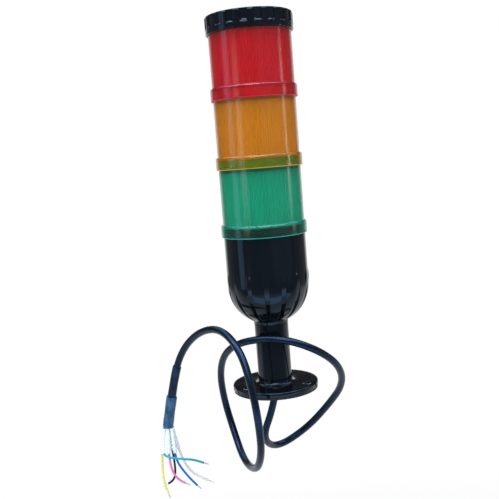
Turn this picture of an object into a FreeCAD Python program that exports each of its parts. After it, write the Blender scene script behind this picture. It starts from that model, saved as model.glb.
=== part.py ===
"""Three-tier stack light on a flanged pole, with its pre-wired cable.  All sizes in millimetres.

The frame: +Z runs up the pole, z = 0 is the face that bolts down (the underside of the gasket), and
the origin is the centre of the three-screw circle.  The side of the light that faces -Y is its front.

From the ground up: a gasket under a one-piece pole and flange; a bowl-bottomed lower housing clamped
on the pole's threaded end by a locknut; three identical tubular lenses and a cap, each of which sits
over the scalloped spigot of the piece below it and locks there with a quarter-bayonet twist; and a
mast of small LED boards that stands inside them on the control board.
"""
import FreeCAD
import Part
import math
import os

Vector = FreeCAD.Vector
UP = Vector(0, 0, 1)

# ---- pole and flange ------------------------------------------------------------------------------
flange_diameter = 61.0
flange_thickness = 3.5        # the plastic flange alone, without the gasket
flange_edge_radius = 0.9
gasket_thickness = 1.5
gasket_inset = 0.5            # how far the gasket's rim stays inside the flange's rim
screw_circle_diameter = 49.0
screw_count = 3
screw_hole_diameter = 4.3
first_screw_angle = 94.0      # degrees from +X, so that one hole is at the back
pole_diameter = 24.0
pole_wall = 3.8
pole_foot_radius = 2.7        # the concave fillet between pole and flange
pole_length = 43.3            # from the flange's top face to the shoulder under the housing
stem_step = 2.0               # the stem, which goes up into the housing, is this much slimmer all round
stem_play = 0.1               # radial, between the stem and the housing's bore
stem_beyond_locknut = 1.5
locknut_wall = 3.0            # from the thread to a flat
locknut_height = 4.0
locknut_crown = 1.04          # how far the rounded corners stand out beyond the flats
locknut_edge_radius = 0.8
grommet_lip = 1.3             # how far the grommet's collar reaches beyond the pole's bore
grommet_height = 4.0

# ---- lower housing --------------------------------------------------------------------------------
housing_step = 0.4            # how far the housing stands outside its spigot
housing_wall = 2.2
neck_lip = 0.3                # how far the neck stands outside the pole
neck_height = 1.9             # the short straight collar between pole and bowl
straight_height = 35.1        # from the bowl's widest level up to the first lens
hub_height = 10.0             # the bored hub inside the bowl, above the neck's end
slot_count = 15
first_slot_angle = -93.0      # degrees from +X, just left of the front
slot_width = 2.7
slot_foot_width = 1.1
slot_top_below_equator = 10.6
slot_foot_below_equator = 24.6
slot_hub_gap = 0.4            # between the inner ends of the slots and the hub
flute_angle = 7.0             # degrees that a flute takes up, so that it tapers towards the neck
flute_depth = 1.3
flute_knee = 0.8              # share of the depth that the flute has reached at the slot's top
flute_start_above_equator = 10.0
board_seat_above_equator = 6.0
board_seat_thickness = 2.0
board_seat_width = 4.9

# ---- bayonet joint, the same at all four levels -----------------------------------------------------
spigot_diameter = 56.4
spigot_wall = 3.0
spigot_height = 6.3
pocket_count = 20
pocket_width = 5.2
pocket_depth = 1.0
pocket_corner = 1.2
pocket_floor = 2.8            # height of a pocket's ledge above the foot of the spigot
track_floor = 0.2             # the lugs run in a track under the ledges
track_height = 1.8
track_depth = 1.2
lug_count = 4
first_pocket_angle = -90.0    # degrees from +X: one pocket faces the front
lug_width = 3.6
lug_play = 0.3                # between a lug and every wall it passes
twist_pockets = 1.5           # a lug turns from under an open pocket to under a land
seal_thickness = 1.0
seal_width = 2.2
seat_play = 0.2               # between a seal and what is above it and inside it

# ---- lenses ---------------------------------------------------------------------------------------
module_pitch = 46.7
lens_step = 0.3               # how far the lens tube stands outside its spigot
lens_wall = 2.1
collar_wall = 1.5
collar_height = 8.7
collar_shoulder_radius = 0.9
collar_play = 0.3             # radial, between a collar and the spigot inside it
rib_count = 110
rib_height = 0.45
lens_rim_height = 2.0         # the plain rim above the ribs

# ---- cap ------------------------------------------------------------------------------------------
cap_overhang = 0.1            # how far the cap stands outside the collars
cap_height = 12.4
cap_drop = 2.1                # how far the cap's skirt hangs below a collar's level
cap_roof = 2.2
cap_dome = 1.6
cap_edge_radius = 1.6
cap_pocket_depth = 0.85
cap_pocket_floor = 3.6
cap_pocket_angle = -96.3      # the middle of one grip pocket, in degrees from +X
skirt_play = 0.3

# ---- electronics ----------------------------------------------------------------------------------
board_thickness = 1.6
board_play = 0.3
board_screw_count = 3
first_board_screw_angle = 90.0
board_screw_diameter = 2.5
board_screw_head_diameter = 4.4
board_screw_head_height = 1.6
board_screw_length = 3.2
mast_across_flats = 16.0
mast_wall = 1.8
mast_foot_lip = 5.0           # how far the mast's round foot reaches beyond its flats
mast_foot_thickness = 2.5
mast_screw_inset = 3.0        # from the foot's rim to the middle of a screw
mast_screw_angles = (90, 180, 270)
mast_screw_diameter = 3.0
mast_screw_head_diameter = 5.4
mast_screw_head_height = 1.8
mast_below_cap = 6.0
strip_width = 8.0
strip_margin = 2.1            # from a strip's ends to the ends of its tier
strip_thickness = 1.2
strips_per_tier = 3
first_strip_angle = -60.0
led_size = 3.5
led_height = 1.6
leds_per_strip = 3
divider_rim_play = 0.8        # radial, inside the spigots
divider_thickness = 1.2
divider_play = 0.2            # round the mast
buzzer_diameter = 15.0
buzzer_height = 6.5
buzzer_play = 0.6             # from the buzzer's side to the edge of the board's seat
buzzer_port = 2.4
buzzer_port_depth = 2.2
terminal_size = (11.0, 9.0, 8.0)
terminal_gap = 0.4            # between the terminal block and the buzzer
tie_width = 2.5
tie_thickness = 1.2
tie_head_size = (5.0, 5.0, 3.75)
tie_above_stem = 2.0

# ---- cable ----------------------------------------------------------------------------------------
cable_diameter = 5.2
bend_share = 0.45             # the part of the shorter run that each bend takes up
wide_sleeve_diameter = 8.0    # heat-shrink sleeves at the end of the sheath
wide_sleeve_length = 24.5
thin_sleeve_diameter = 6.4
thin_sleeve_length = 29.0
sleeve_overlap = 4.0          # how far the thin sleeve runs under the wide one
lead_diameter = 1.7
marker_diameter = 2.7
marker_length = 19.0
marker_gap = 1.0              # from the wide sleeve to the marker sleeves
tinned_diameter = 1.1
tinned_length = 4.5

# Corners of the free cable's route, from its exit under the flange to the end of its sheath.
CABLE_ROUTE = [
    (0, 0, 0), (-3, -1, -14), (-13, 1, -38), (-3, 20, -53), (21, 28, -42), (38, 22, -23), (49, 9, -4),
    (46, -7, 15), (30, -20, 31), (6, -22, 41), (-18, -12, 39), (-34, 4, 29), (-41, 20, 10),
    (-40, 28, -15), (-34, 22, -39), (-27, 2, -55), (-18, -23, -52), (-13, -41, -34), (-13, -49, -10),
    (-16, -47, 16), (-22, -36, 38), (-35, -17, 50), (-52, 1, 45), (-67, 15, 29), (-76, 22, 6),
    (-84, 25, -32),
]

# The six leads, from the wide sleeve to the end of their insulation.
LEAD_ROUTES = {
    "teal": [(-86.8, 23.6, -32), (-88.5, 22.5, -42), (-89.5, 20, -51.5), (-83, 17, -54), (-73, 16, -55),
             (-65, 18, -57), (-59, 21, -61)],
    "pink": [(-84, 23.6, -32), (-84.5, 22, -42), (-84.5, 20.5, -54), (-84, 21, -62), (-82.5, 22.5, -69),
             (-79, 24.5, -75), (-75, 26, -78)],
    "blue": [(-81.2, 23.6, -32), (-80.5, 22, -42), (-80, 21.5, -54), (-78.5, 23, -61), (-75, 24.5, -68),
             (-70.5, 25.5, -75), (-66, 27, -81)],
    "yellow": [(-86.8, 26.4, -32), (-89.5, 28, -44), (-91.5, 29.5, -58), (-92, 30, -68), (-92, 30, -76),
               (-90.5, 29, -82), (-89, 28, -86)],
    "black": [(-84, 26.4, -32), (-84, 28, -44), (-82.5, 29, -56), (-82, 28.5, -64), (-82, 27.5, -71),
              (-84, 27, -76), (-88, 27, -78)],
    "white": [(-81.2, 26.4, -32), (-80, 28.5, -43), (-77.5, 30, -54), (-75, 30, -62), (-71.5, 29, -68.5),
              (-65, 28, -74), (-57, 28, -78)],
}

# ---- diameters worked out from the sizes above ------------------------------------------------------
pole_bore = pole_diameter - 2 * pole_wall
stem_diameter = pole_diameter - 2 * stem_step
neck_diameter = pole_diameter + 2 * neck_lip
locknut_across_flats = stem_diameter + 2 * locknut_wall
grommet_flange_diameter = pole_bore + 2 * grommet_lip
spigot_bore = spigot_diameter - 2 * spigot_wall
housing_diameter = spigot_diameter + 2 * housing_step
lens_diameter = spigot_diameter + 2 * lens_step
collar_bore = spigot_diameter + 2 * collar_play
collar_diameter = collar_bore + 2 * collar_wall
cap_diameter = collar_diameter + 2 * cap_overhang
divider_diameter = spigot_bore - 2 * divider_rim_play
mast_bore = mast_across_flats - 2 * mast_wall
mast_foot_diameter = mast_across_flats + 2 * mast_foot_lip
mast_screw_circle = mast_foot_diameter - 2 * mast_screw_inset

# ---- levels, lengths and angles worked out in the same way -------------------------------------------
TIERS = ["green", "amber", "red"]    # from the ground up
flange_top = gasket_thickness + flange_thickness
neck_bottom = flange_top + pole_length
neck_top = neck_bottom + neck_height
bowl_radius = housing_diameter / 2
equator = neck_top + math.sqrt(bowl_radius ** 2 - (neck_diameter / 2) ** 2)
housing_top = equator + straight_height
hub_top = neck_bottom + hub_height
stem_top = hub_top + locknut_height + stem_beyond_locknut
board_seat = equator + board_seat_above_equator
board_top = board_seat + board_thickness
lens_levels = [housing_top + module_pitch * tier for tier in range(len(TIERS))]
cap_level = housing_top + module_pitch * len(TIERS)
collar_seat = spigot_height + seal_thickness + seat_play
strip_height = module_pitch - collar_seat - 2 * strip_margin
led_spacing = strip_height / leds_per_strip
pocket_pitch = 360.0 / pocket_count
first_way_in_angle = first_pocket_angle - pocket_pitch    # an open pocket that lets a lug in
twist_angle = twist_pockets * pocket_pitch
mast_top = cap_level - mast_below_cap
seat_bore = housing_diameter - 2 * (housing_wall + board_seat_width)
buzzer_offset = (seat_bore - buzzer_diameter) / 2 - buzzer_play


# ---- general shapes -------------------------------------------------------------------------------
def at(radius, angle, z):
    """The point at a radius and an angle in degrees from +X, at the height z."""
    turn = math.radians(angle)
    return Vector(radius * math.cos(turn), radius * math.sin(turn), z)


def disc(diameter, height, z=0.0):
    return Part.makeCylinder(diameter / 2, height, Vector(0, 0, z))


def ring(outer, inner, height, z=0.0):
    return disc(outer, height, z).cut(disc(inner, height, z))


def revolved(corners, angle=360):
    """A turned solid from the corners (radius, z) of its half section."""
    points = [Vector(radius, 0, z) for radius, z in corners]
    section = Part.Face(Part.makePolygon(points + points[:1]))
    return section.revolve(Vector(0, 0, 0), UP, angle)


def turned(shape, angle):
    copy = shape.copy()
    copy.rotate(Vector(0, 0, 0), UP, angle)
    return copy


def around(shape, count, start=0.0, step=None):
    """Copies of a shape about the axis, evenly spread unless a step in degrees is given."""
    step = 360.0 / count if step is None else step
    return [turned(shape, start + step * number) for number in range(count)]


def circle_at(edge, diameter, z):
    """Whether an edge is the full circle of that diameter at that height."""
    curve = edge.Curve
    if not isinstance(curve, Part.Circle):
        return False
    return abs(curve.Radius - diameter / 2) < 1e-4 and abs(curve.Center.z - z) < 1e-4


def rounded(shape, radius, rims):
    """The shape with the circular edges at (diameter, z) rounded."""
    edges = [edge for edge in shape.Edges if any(circle_at(edge, *rim) for rim in rims)]
    return shape.makeFillet(radius, edges)


def prism(across_flats, height, z):
    """A hexagonal prism with flats at 0, 60, 120 ... degrees."""
    corner = across_flats / math.sqrt(3)
    points = [at(corner, 30 + 60 * side, z) for side in range(7)]
    return Part.Face(Part.makePolygon(points)).extrude(Vector(0, 0, height))


# ---- bayonet joint --------------------------------------------------------------------------------
def pocket_cutter(floor_radius, floor_z, top_z):
    """A pocket open at its top and at the outside, with round lower corners, facing +X."""
    half = pocket_width / 2
    x, y = floor_radius, half
    low, mid = floor_z, floor_z + pocket_corner
    diagonal = pocket_corner * (1 - math.sqrt(0.5))
    edges = [
        Part.LineSegment(Vector(x, -y, top_z), Vector(x, -y, mid)),
        Part.Arc(Vector(x, -y, mid), Vector(x, -y + diagonal, low + diagonal),
                 Vector(x, -y + pocket_corner, low)),
        Part.LineSegment(Vector(x, -y + pocket_corner, low), Vector(x, y - pocket_corner, low)),
        Part.Arc(Vector(x, y - pocket_corner, low), Vector(x, y - diagonal, low + diagonal),
                 Vector(x, y, mid)),
        Part.LineSegment(Vector(x, y, mid), Vector(x, y, top_z)),
        Part.LineSegment(Vector(x, y, top_z), Vector(x, -y, top_z)),
    ]
    outline = Part.Wire([edge.toShape() for edge in edges])
    return Part.Face(outline).extrude(Vector(collar_diameter, 0, 0))


def lug_half_angle(play):
    """Half of the angle that a lug takes at the spigot's surface, with play on its flank."""
    return math.degrees(math.asin((lug_width / 2 + play) / (spigot_diameter / 2)))


def lug_track():
    """The track from one open pocket at angle 0 back to where its lug is locked, from z = 0."""
    inner = spigot_diameter / 2 - track_depth
    outer = collar_diameter / 2
    low = track_floor
    high = track_floor + track_height
    sweep = twist_angle + 2 * lug_half_angle(lug_play)
    track = revolved([(inner, low), (outer, low), (outer, high), (inner, high)], sweep)
    return turned(track, -twist_angle - lug_half_angle(lug_play))


def spigot_cuts():
    """Everything cut into a spigot: scallops all round, and a way in for each lug."""
    top = spigot_height + 1
    pocket = pocket_cutter(spigot_diameter / 2 - pocket_depth, pocket_floor, top)
    open_pocket = pocket_cutter(spigot_diameter / 2 - pocket_depth, track_floor, top)
    cuts = around(pocket, pocket_count, first_pocket_angle)
    cuts += around(open_pocket, lug_count, first_way_in_angle)
    cuts += around(lug_track(), lug_count, first_way_in_angle)
    return cuts


def locking_lugs():
    """The lugs inside a collar or cap, where they rest when it is locked, from z = 0."""
    inner = spigot_diameter / 2 - pocket_depth + lug_play
    low = track_floor + lug_play
    height = track_height - 2 * lug_play
    length = collar_bore / 2 + lug_play - inner
    lug = Part.makeBox(length, lug_width, height, Vector(inner, -lug_width / 2, low))
    lug = lug.common(disc(collar_bore + 2 * lug_play, height, low))
    return around(lug, lug_count, first_way_in_angle - twist_angle)


def lifted(shapes, z):
    moved = [shape.copy() for shape in shapes]
    for shape in moved:
        shape.translate(Vector(0, 0, z))
    return moved


# ---- pole, flange and what is fixed to them -----------------------------------------------------------
def screw_holes(z, height):
    hole = Part.makeCylinder(screw_hole_diameter / 2, height, Vector(screw_circle_diameter / 2, 0, z))
    return around(hole, screw_count, first_screw_angle)


def mounting_pole():
    """Pole, foot fillet and flange as one moulding, with a stepped stem at its top."""
    body = revolved([
        (0, gasket_thickness), (flange_diameter / 2, gasket_thickness), (flange_diameter / 2, flange_top),
        (pole_diameter / 2, flange_top), (pole_diameter / 2, neck_bottom), (stem_diameter / 2, neck_bottom),
        (stem_diameter / 2, stem_top), (0, stem_top),
    ])
    body = rounded(body, pole_foot_radius, [(pole_diameter, flange_top)])
    body = rounded(body, flange_edge_radius, [(flange_diameter, flange_top)])
    bore = disc(pole_bore, stem_top)
    return body.cut([bore] + screw_holes(0, flange_top + 1))


def flange_gasket():
    sheet = ring(flange_diameter - 2 * gasket_inset, grommet_flange_diameter, gasket_thickness)
    return sheet.cut(screw_holes(0, gasket_thickness))


def cable_grommet():
    """A rubber plug in the pole's foot, with a collar that fills the gasket's middle."""
    collar = disc(grommet_flange_diameter, gasket_thickness)
    plug = disc(pole_bore, grommet_height, gasket_thickness)
    return collar.fuse(plug).cut(disc(cable_diameter, grommet_height + gasket_thickness))


def pole_locknut():
    nut = prism(locknut_across_flats, locknut_height, hub_top)
    crown = locknut_across_flats + 2 * locknut_crown
    blank = disc(crown, locknut_height, hub_top)
    blank = rounded(blank, locknut_edge_radius, [(crown, hub_top + locknut_height)])
    return nut.common(blank).cut(disc(stem_diameter, locknut_height, hub_top))


# ---- lower housing --------------------------------------------------------------------------------
def bowl_surface(below_equator):
    """Radius of the bowl's outside at a depth below its widest level."""
    return math.sqrt(bowl_radius ** 2 - below_equator ** 2)


def bowl_blank(radius, low, top):
    """A solid with a round bottom of that radius about the equator's middle, cut flat at low."""
    ball = Part.makeSphere(radius, Vector(0, 0, equator))
    size = 4 * radius
    below = Part.makeBox(size, size, size, Vector(-size / 2, -size / 2, low - size))
    above = Part.makeBox(size, size, size, Vector(-size / 2, -size / 2, equator))
    shaft = Part.makeCylinder(radius, top - equator, Vector(0, 0, equator))
    return ball.cut([below, above]).fuse(shaft)


def flute():
    """A tapering groove down the bowl that deepens from nothing to flute_depth, facing +X."""
    deep = slot_foot_below_equator
    middle = slot_top_below_equator
    top = Vector(bowl_radius, 0, equator + flute_start_above_equator)
    knee = Vector(bowl_surface(middle) - flute_depth * flute_knee, 0, equator - middle)
    foot = Vector(bowl_surface(deep) - flute_depth, 0, equator - deep)
    outside = Vector(bowl_radius + flute_depth, 0, foot.z)
    corner = Vector(outside.x, 0, top.z)
    edges = [
        Part.Arc(top, knee, foot),
        Part.LineSegment(foot, outside),
        Part.LineSegment(outside, corner),
        Part.LineSegment(corner, top),
    ]
    section = Part.Face(Part.Wire([edge.toShape() for edge in edges]))
    return turned(section.revolve(Vector(0, 0, 0), UP, flute_angle), -flute_angle / 2)


def sound_slot():
    """A teardrop opening, round at its top and narrow at the neck, facing +X."""
    half = slot_width / 2
    foot = slot_foot_width / 2
    start = neck_diameter / 2 + slot_hub_gap
    eye = equator - slot_top_below_equator - half
    low = equator - slot_foot_below_equator
    edges = [
        Part.Arc(Vector(start, half, eye), Vector(start, 0, eye + half), Vector(start, -half, eye)),
        Part.LineSegment(Vector(start, -half, eye), Vector(start, -foot, low)),
        Part.LineSegment(Vector(start, -foot, low), Vector(start, foot, low)),
        Part.LineSegment(Vector(start, foot, low), Vector(start, half, eye)),
    ]
    outline = Part.Face(Part.Wire([edge.toShape() for edge in edges]))
    return outline.extrude(Vector(bowl_radius, 0, 0))


def housing_hollow():
    """The inside of the housing: the bowl around its hub, the board's seat, and the open top."""
    inner = bowl_radius - housing_wall
    bowl = bowl_blank(inner, neck_top, board_seat - board_seat_thickness)
    hub = disc(neck_diameter, hub_height, neck_bottom)
    hub = hub.cut(disc(stem_diameter, hub_height, neck_bottom))
    throat = disc(seat_bore, board_seat_thickness, board_seat - board_seat_thickness)
    upper = disc(2 * inner, housing_top - housing_wall - board_seat, board_seat)
    spout = disc(spigot_bore, housing_wall + spigot_height, housing_top - housing_wall)
    return bowl.cut(hub).fuse([throat, upper, spout])


def lower_housing():
    body = bowl_blank(bowl_radius, neck_top, housing_top)
    body = body.fuse([disc(neck_diameter, neck_height, neck_bottom),
                      disc(spigot_diameter, spigot_height, housing_top)])
    body = body.cut(housing_hollow())
    hub = ring(neck_diameter, stem_diameter + 2 * stem_play, hub_height, neck_bottom)
    body = body.cut(disc(stem_diameter + 2 * stem_play, hub_height, neck_bottom)).fuse(hub)
    cuts = around(flute(), slot_count, first_slot_angle)
    cuts += around(sound_slot(), slot_count, first_slot_angle)
    cuts += lifted(spigot_cuts(), housing_top)
    cuts += board_screw_holes()
    return body.cut(cuts)


# ---- lenses, seals and cap ------------------------------------------------------------------------
def ribbed_bore(height, z):
    """A star-sided prism that cuts the fine upright ribs inside a lens."""
    root = lens_diameter / 2 - lens_wall
    tip = root - rib_height
    points = []
    for number in range(2 * rib_count):
        radius = tip if number % 2 else root
        points.append(at(radius, number * 180.0 / rib_count, z))
    return Part.Face(Part.makePolygon(points + points[:1])).extrude(Vector(0, 0, height))


def lens():
    """One lens moulding: locking collar, ribbed tube and scalloped spigot, with its foot at z = 0."""
    body = disc(collar_diameter, collar_height)
    body = rounded(body, collar_shoulder_radius, [(collar_diameter, collar_height)])
    body = body.fuse([disc(lens_diameter, module_pitch), disc(spigot_diameter, spigot_height, module_pitch)])
    bore = disc(spigot_bore, module_pitch + spigot_height)
    cavity = disc(collar_bore, collar_seat)
    ribs = ribbed_bore(module_pitch - lens_rim_height - collar_seat, collar_seat)
    body = body.cut([bore, cavity, ribs] + lifted(spigot_cuts(), module_pitch))
    return body.fuse(locking_lugs())


def seal_ring(level):
    outer = spigot_bore + 2 * seal_width + 2 * seat_play
    return ring(outer, spigot_bore + 2 * seat_play, seal_thickness, level + spigot_height)


def top_cap():
    """The cap: grip pockets all round, a low dome, and the same lugs as a collar."""
    foot = cap_level - cap_drop
    top = foot + cap_height
    body = rounded(disc(cap_diameter, cap_height, foot), cap_edge_radius, [(cap_diameter, top)])
    crown = cap_diameter - 2 * cap_edge_radius
    ball = ((crown / 2) ** 2 + cap_dome ** 2) / (2 * cap_dome)
    dome = Part.makeSphere(ball, Vector(0, 0, top + cap_dome - ball)).common(disc(crown, cap_dome, top))
    pocket = pocket_cutter(cap_diameter / 2 - cap_pocket_depth, foot + cap_pocket_floor, top + cap_dome)
    grips = around(pocket, pocket_count, cap_pocket_angle)
    skirt = disc(lens_diameter + 2 * skirt_play, cap_drop, foot)
    cavity = disc(collar_bore, collar_seat, cap_level)
    loft = disc(spigot_bore, top - cap_roof - cap_level, cap_level)
    body = body.fuse(dome).cut(grips + [skirt, cavity, loft])
    return body.fuse(lifted(locking_lugs(), cap_level))


# ---- electronics ----------------------------------------------------------------------------------
def board_screw_places():
    radius = (seat_bore + board_seat_width) / 2
    step = 360.0 / board_screw_count
    return [at(radius, first_board_screw_angle + step * number, board_seat)
            for number in range(board_screw_count)]


def board_screw_holes():
    depth = board_seat_thickness
    return [Part.makeCylinder(board_screw_diameter / 2, depth, place - Vector(0, 0, depth))
            for place in board_screw_places()]


def board_screws():
    screws = []
    for place in board_screw_places():
        over = place + Vector(0, 0, board_thickness)
        head = Part.makeCylinder(board_screw_head_diameter / 2, board_screw_head_height, over)
        shank = Part.makeCylinder(board_screw_diameter / 2, board_screw_length, over, -UP)
        screws.append(head.fuse(shank))
    return Part.makeCompound(screws)


def mast_screw_places():
    return [at(mast_screw_circle / 2, angle, board_top) for angle in mast_screw_angles]


def mast_screw_length():
    return board_thickness + mast_foot_thickness


def mast_screws():
    screws = []
    for place in mast_screw_places():
        under = place - Vector(0, 0, board_thickness)
        head = Part.makeCylinder(mast_screw_head_diameter / 2, mast_screw_head_height, under, -UP)
        shank = Part.makeCylinder(mast_screw_diameter / 2, mast_screw_length(), under)
        screws.append(head.fuse(shank))
    return Part.makeCompound(screws)


def mast_screw_holes():
    under = Vector(0, 0, board_thickness)
    return [Part.makeCylinder(mast_screw_diameter / 2, mast_screw_length(), place - under)
            for place in mast_screw_places()]


def control_board():
    board = disc(2 * (bowl_radius - housing_wall - board_play), board_thickness, board_seat)
    holes = [Part.makeCylinder(board_screw_diameter / 2, board_thickness, place)
             for place in board_screw_places()]
    return board.cut(holes + mast_screw_holes())


def terminal_block():
    """The block that the cable's cores are clamped in, under the middle of the board."""
    length, depth, height = terminal_size
    end = buzzer_offset - buzzer_diameter / 2 - terminal_gap
    return Part.makeBox(length, depth, height, Vector(end - length, -depth / 2, board_seat - height))


def buzzer():
    """A sealed sounder under the board, with its port facing the slots."""
    place = Vector(buzzer_offset, 0, board_seat - buzzer_height)
    can = Part.makeCylinder(buzzer_diameter / 2, buzzer_height, place)
    return can.cut(Part.makeCylinder(buzzer_port / 2, buzzer_port_depth, place))


def led_mast():
    """A hexagonal hollow post on a round foot."""
    foot = disc(mast_foot_diameter, mast_foot_thickness, board_top)
    post = prism(mast_across_flats, mast_top - board_top, board_top)
    bore = disc(mast_bore, mast_top - board_top, board_top)
    return foot.fuse(post).cut([bore] + mast_screw_holes())


def tier_middle(tier):
    """Height of the middle of a tier's clear length, between the joints at its ends."""
    return lens_levels[tier] + (collar_seat + module_pitch) / 2


def led_strips(tier):
    low = tier_middle(tier) - strip_height / 2
    strip = Part.makeBox(strip_thickness, strip_width, strip_height,
                         Vector(mast_across_flats / 2, -strip_width / 2, low))
    return Part.makeCompound(around(strip, strips_per_tier, first_strip_angle))


def leds(tier):
    face = mast_across_flats / 2 + strip_thickness
    first = tier_middle(tier) - led_spacing * (leds_per_strip - 1) / 2
    chips = []
    for number in range(leds_per_strip):
        corner = Vector(face, -led_size / 2, first + led_spacing * number - led_size / 2)
        chip = Part.makeBox(led_height, led_size, led_size, corner)
        chips += around(chip, strips_per_tier, first_strip_angle)
    return Part.makeCompound(chips)


def tier_divider(tier):
    """A disc round the mast that keeps the light of one tier out of the next."""
    low = lens_levels[tier] + spigot_height / 2
    plate = disc(divider_diameter, divider_thickness, low)
    return plate.cut(prism(mast_across_flats + 2 * divider_play, divider_thickness, low))


# ---- cable ----------------------------------------------------------------------------------------
def bend_radius(before, corner, after):
    """The radius of the bend at a corner, as large as bend_share of its shorter run allows."""
    incoming = corner - before
    outgoing = after - corner
    turn = incoming.getAngle(outgoing)
    return bend_share * min(incoming.Length, outgoing.Length) / math.tan(turn / 2)


def route_wire(points):
    """Straight runs joined by tangent arcs, and the smallest bend radius on the way."""
    corners = [Vector(*point) for point in points]
    edges = []
    start = corners[0]
    radii = []
    for before, corner, after in zip(corners, corners[1:], corners[2:]):
        reach = bend_share * min((corner - before).Length, (after - corner).Length)
        arc_start = corner + (before - corner).normalize() * reach
        arc_end = corner + (after - corner).normalize() * reach
        radius = bend_radius(before, corner, after)
        to_middle = ((arc_start - corner) + (arc_end - corner)).normalize()
        arc_middle = corner + to_middle * (math.hypot(reach, radius) - radius)
        edges.append(Part.LineSegment(start, arc_start).toShape())
        edges.append(Part.Arc(arc_start, arc_middle, arc_end).toShape())
        start = arc_end
        radii.append(radius)
    edges.append(Part.LineSegment(start, corners[-1]).toShape())
    return Part.Wire(edges), radii


def sheath(wire, diameter):
    """A solid round bar along a wire."""
    first = wire.OrderedEdges[0]
    begin = first.FirstParameter
    section = Part.Wire(Part.makeCircle(diameter / 2, first.valueAt(begin), first.tangentAt(begin)))
    return wire.makePipeShell([section], True, True)


def tube(name, points, diameter):
    """A round cord along a route."""
    wire, radii = route_wire(points)
    cord = sheath(wire, diameter)
    share = cord.Volume / (math.pi * diameter ** 2 / 4 * wire.Length)
    print("%-14s length %.1f  tightest bends %s  volume share %.4f" % (
        name, wire.Length, [round(radius, 1) for radius in sorted(radii)[:3]], share))
    return cord


def stretch(points, start, length):
    """The part of a route's line that begins at a distance along it."""
    wire, _ = route_wire(points)
    edges = []
    passed = 0.0
    for edge in wire.OrderedEdges:
        near = max(start - passed, 0)
        far = min(start + length - passed, edge.Length)
        if far - near > 1e-6:
            ends = [edge.getParameterByLength(distance) for distance in (near, far)]
            edges.append(edge.Curve.toShape(*ends))
        passed += edge.Length
    return Part.Wire(edges)


def cable_sleeves(cable):
    """The thin and the wide heat-shrink sleeve over the cable's end."""
    wire, _ = route_wire(CABLE_ROUTE)
    wide_start = wire.Length - wide_sleeve_length
    thin_start = wide_start + sleeve_overlap - thin_sleeve_length
    thin = sheath(stretch(CABLE_ROUTE, thin_start, thin_sleeve_length), thin_sleeve_diameter)
    wide = sheath(stretch(CABLE_ROUTE, wide_start, wide_sleeve_length), wide_sleeve_diameter)
    return thin.cut(cable), wide.cut([cable, thin])


def marker_sleeves(leads):
    """A bare marker sleeve on each lead, close to the wide sleeve."""
    sleeves = []
    for colour, route in LEAD_ROUTES.items():
        outside = sheath(stretch(route, marker_gap, marker_length), marker_diameter)
        sleeves.append(outside.cut(leads[colour]))
    return Part.makeCompound(sleeves)


def tinned_ends():
    """The bared and tinned end of each lead."""
    ends = []
    for route in LEAD_ROUTES.values():
        last = Vector(*route[-1])
        ends.append(Part.makeCylinder(tinned_diameter / 2, tinned_length, last, last - Vector(*route[-2])))
    return Part.makeCompound(ends)


def cable_in_pole():
    """The straight length of cable from the flange up to the terminal block."""
    return disc(cable_diameter, board_seat - terminal_size[2])


def cable_tie():
    """A tie round the cable above the stem, which keeps the cable from being pulled out."""
    low = stem_top + tie_above_stem
    reach, width, height = tie_head_size
    head = Part.makeBox(reach, width, height, Vector(cable_diameter / 2, -width / 2, low))
    band = disc(cable_diameter + 2 * tie_thickness, tie_width, low)
    return band.fuse(head).cut(disc(cable_diameter, height, low))


def main():
    os.makedirs("parts", exist_ok=True)
    pieces = {
        "mounting_pole": mounting_pole(),
        "flange_gasket": flange_gasket(),
        "cable_grommet": cable_grommet(),
        "pole_locknut": pole_locknut(),
        "lower_housing": lower_housing(),
        "control_board": control_board(),
        "board_screws": board_screws(),
        "terminal_block": terminal_block(),
        "buzzer": buzzer(),
        "led_mast": led_mast(),
        "mast_screws": mast_screws(),
        "top_cap": top_cap(),
        "seal_cap": seal_ring(cap_level),
        "cable_in_pole": cable_in_pole(),
        "cable_tie": cable_tie(),
        "tinned_ends": tinned_ends(),
    }
    one_lens = lens()
    for tier, colour in enumerate(TIERS):
        pieces["lens_" + colour] = lifted([one_lens], lens_levels[tier])[0]
        pieces["seal_" + colour] = seal_ring(lens_levels[tier])
        pieces["led_strips_" + colour] = led_strips(tier)
        pieces["leds_" + colour] = leds(tier)
        pieces["divider_" + colour] = tier_divider(tier)
    pieces["cable"] = tube("cable", CABLE_ROUTE, cable_diameter)
    pieces["sleeve_thin"], pieces["sleeve_wide"] = cable_sleeves(pieces["cable"])
    leads = {}
    for colour, route in LEAD_ROUTES.items():
        leads[colour] = tube("lead_" + colour, route, lead_diameter)
        pieces["lead_" + colour] = leads[colour]
    pieces["marker_sleeves"] = marker_sleeves(leads)
    for name, shape in pieces.items():
        solids = len(shape.Solids)
        print("%-18s solids %d valid %s volume %.1f" % (name, solids, shape.isValid(), shape.Volume))
        shape.exportStep("parts/%s.step" % name)


main()
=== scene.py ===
"""Three-tier stack light: its visible pieces, finishes, stage and camera, built round its CAD frame.

+Z runs up the pole and the front faces -Y.  Sizes in the profiles are in millimetres and are turned
into metres by mm().  Heights and outer sizes come from the boxes of the CAD nodes.
"""
import math

import bmesh
import bpy
from bpy.props import FloatProperty, FloatVectorProperty, IntProperty, PointerProperty
from mathutils import Matrix, Vector


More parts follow.
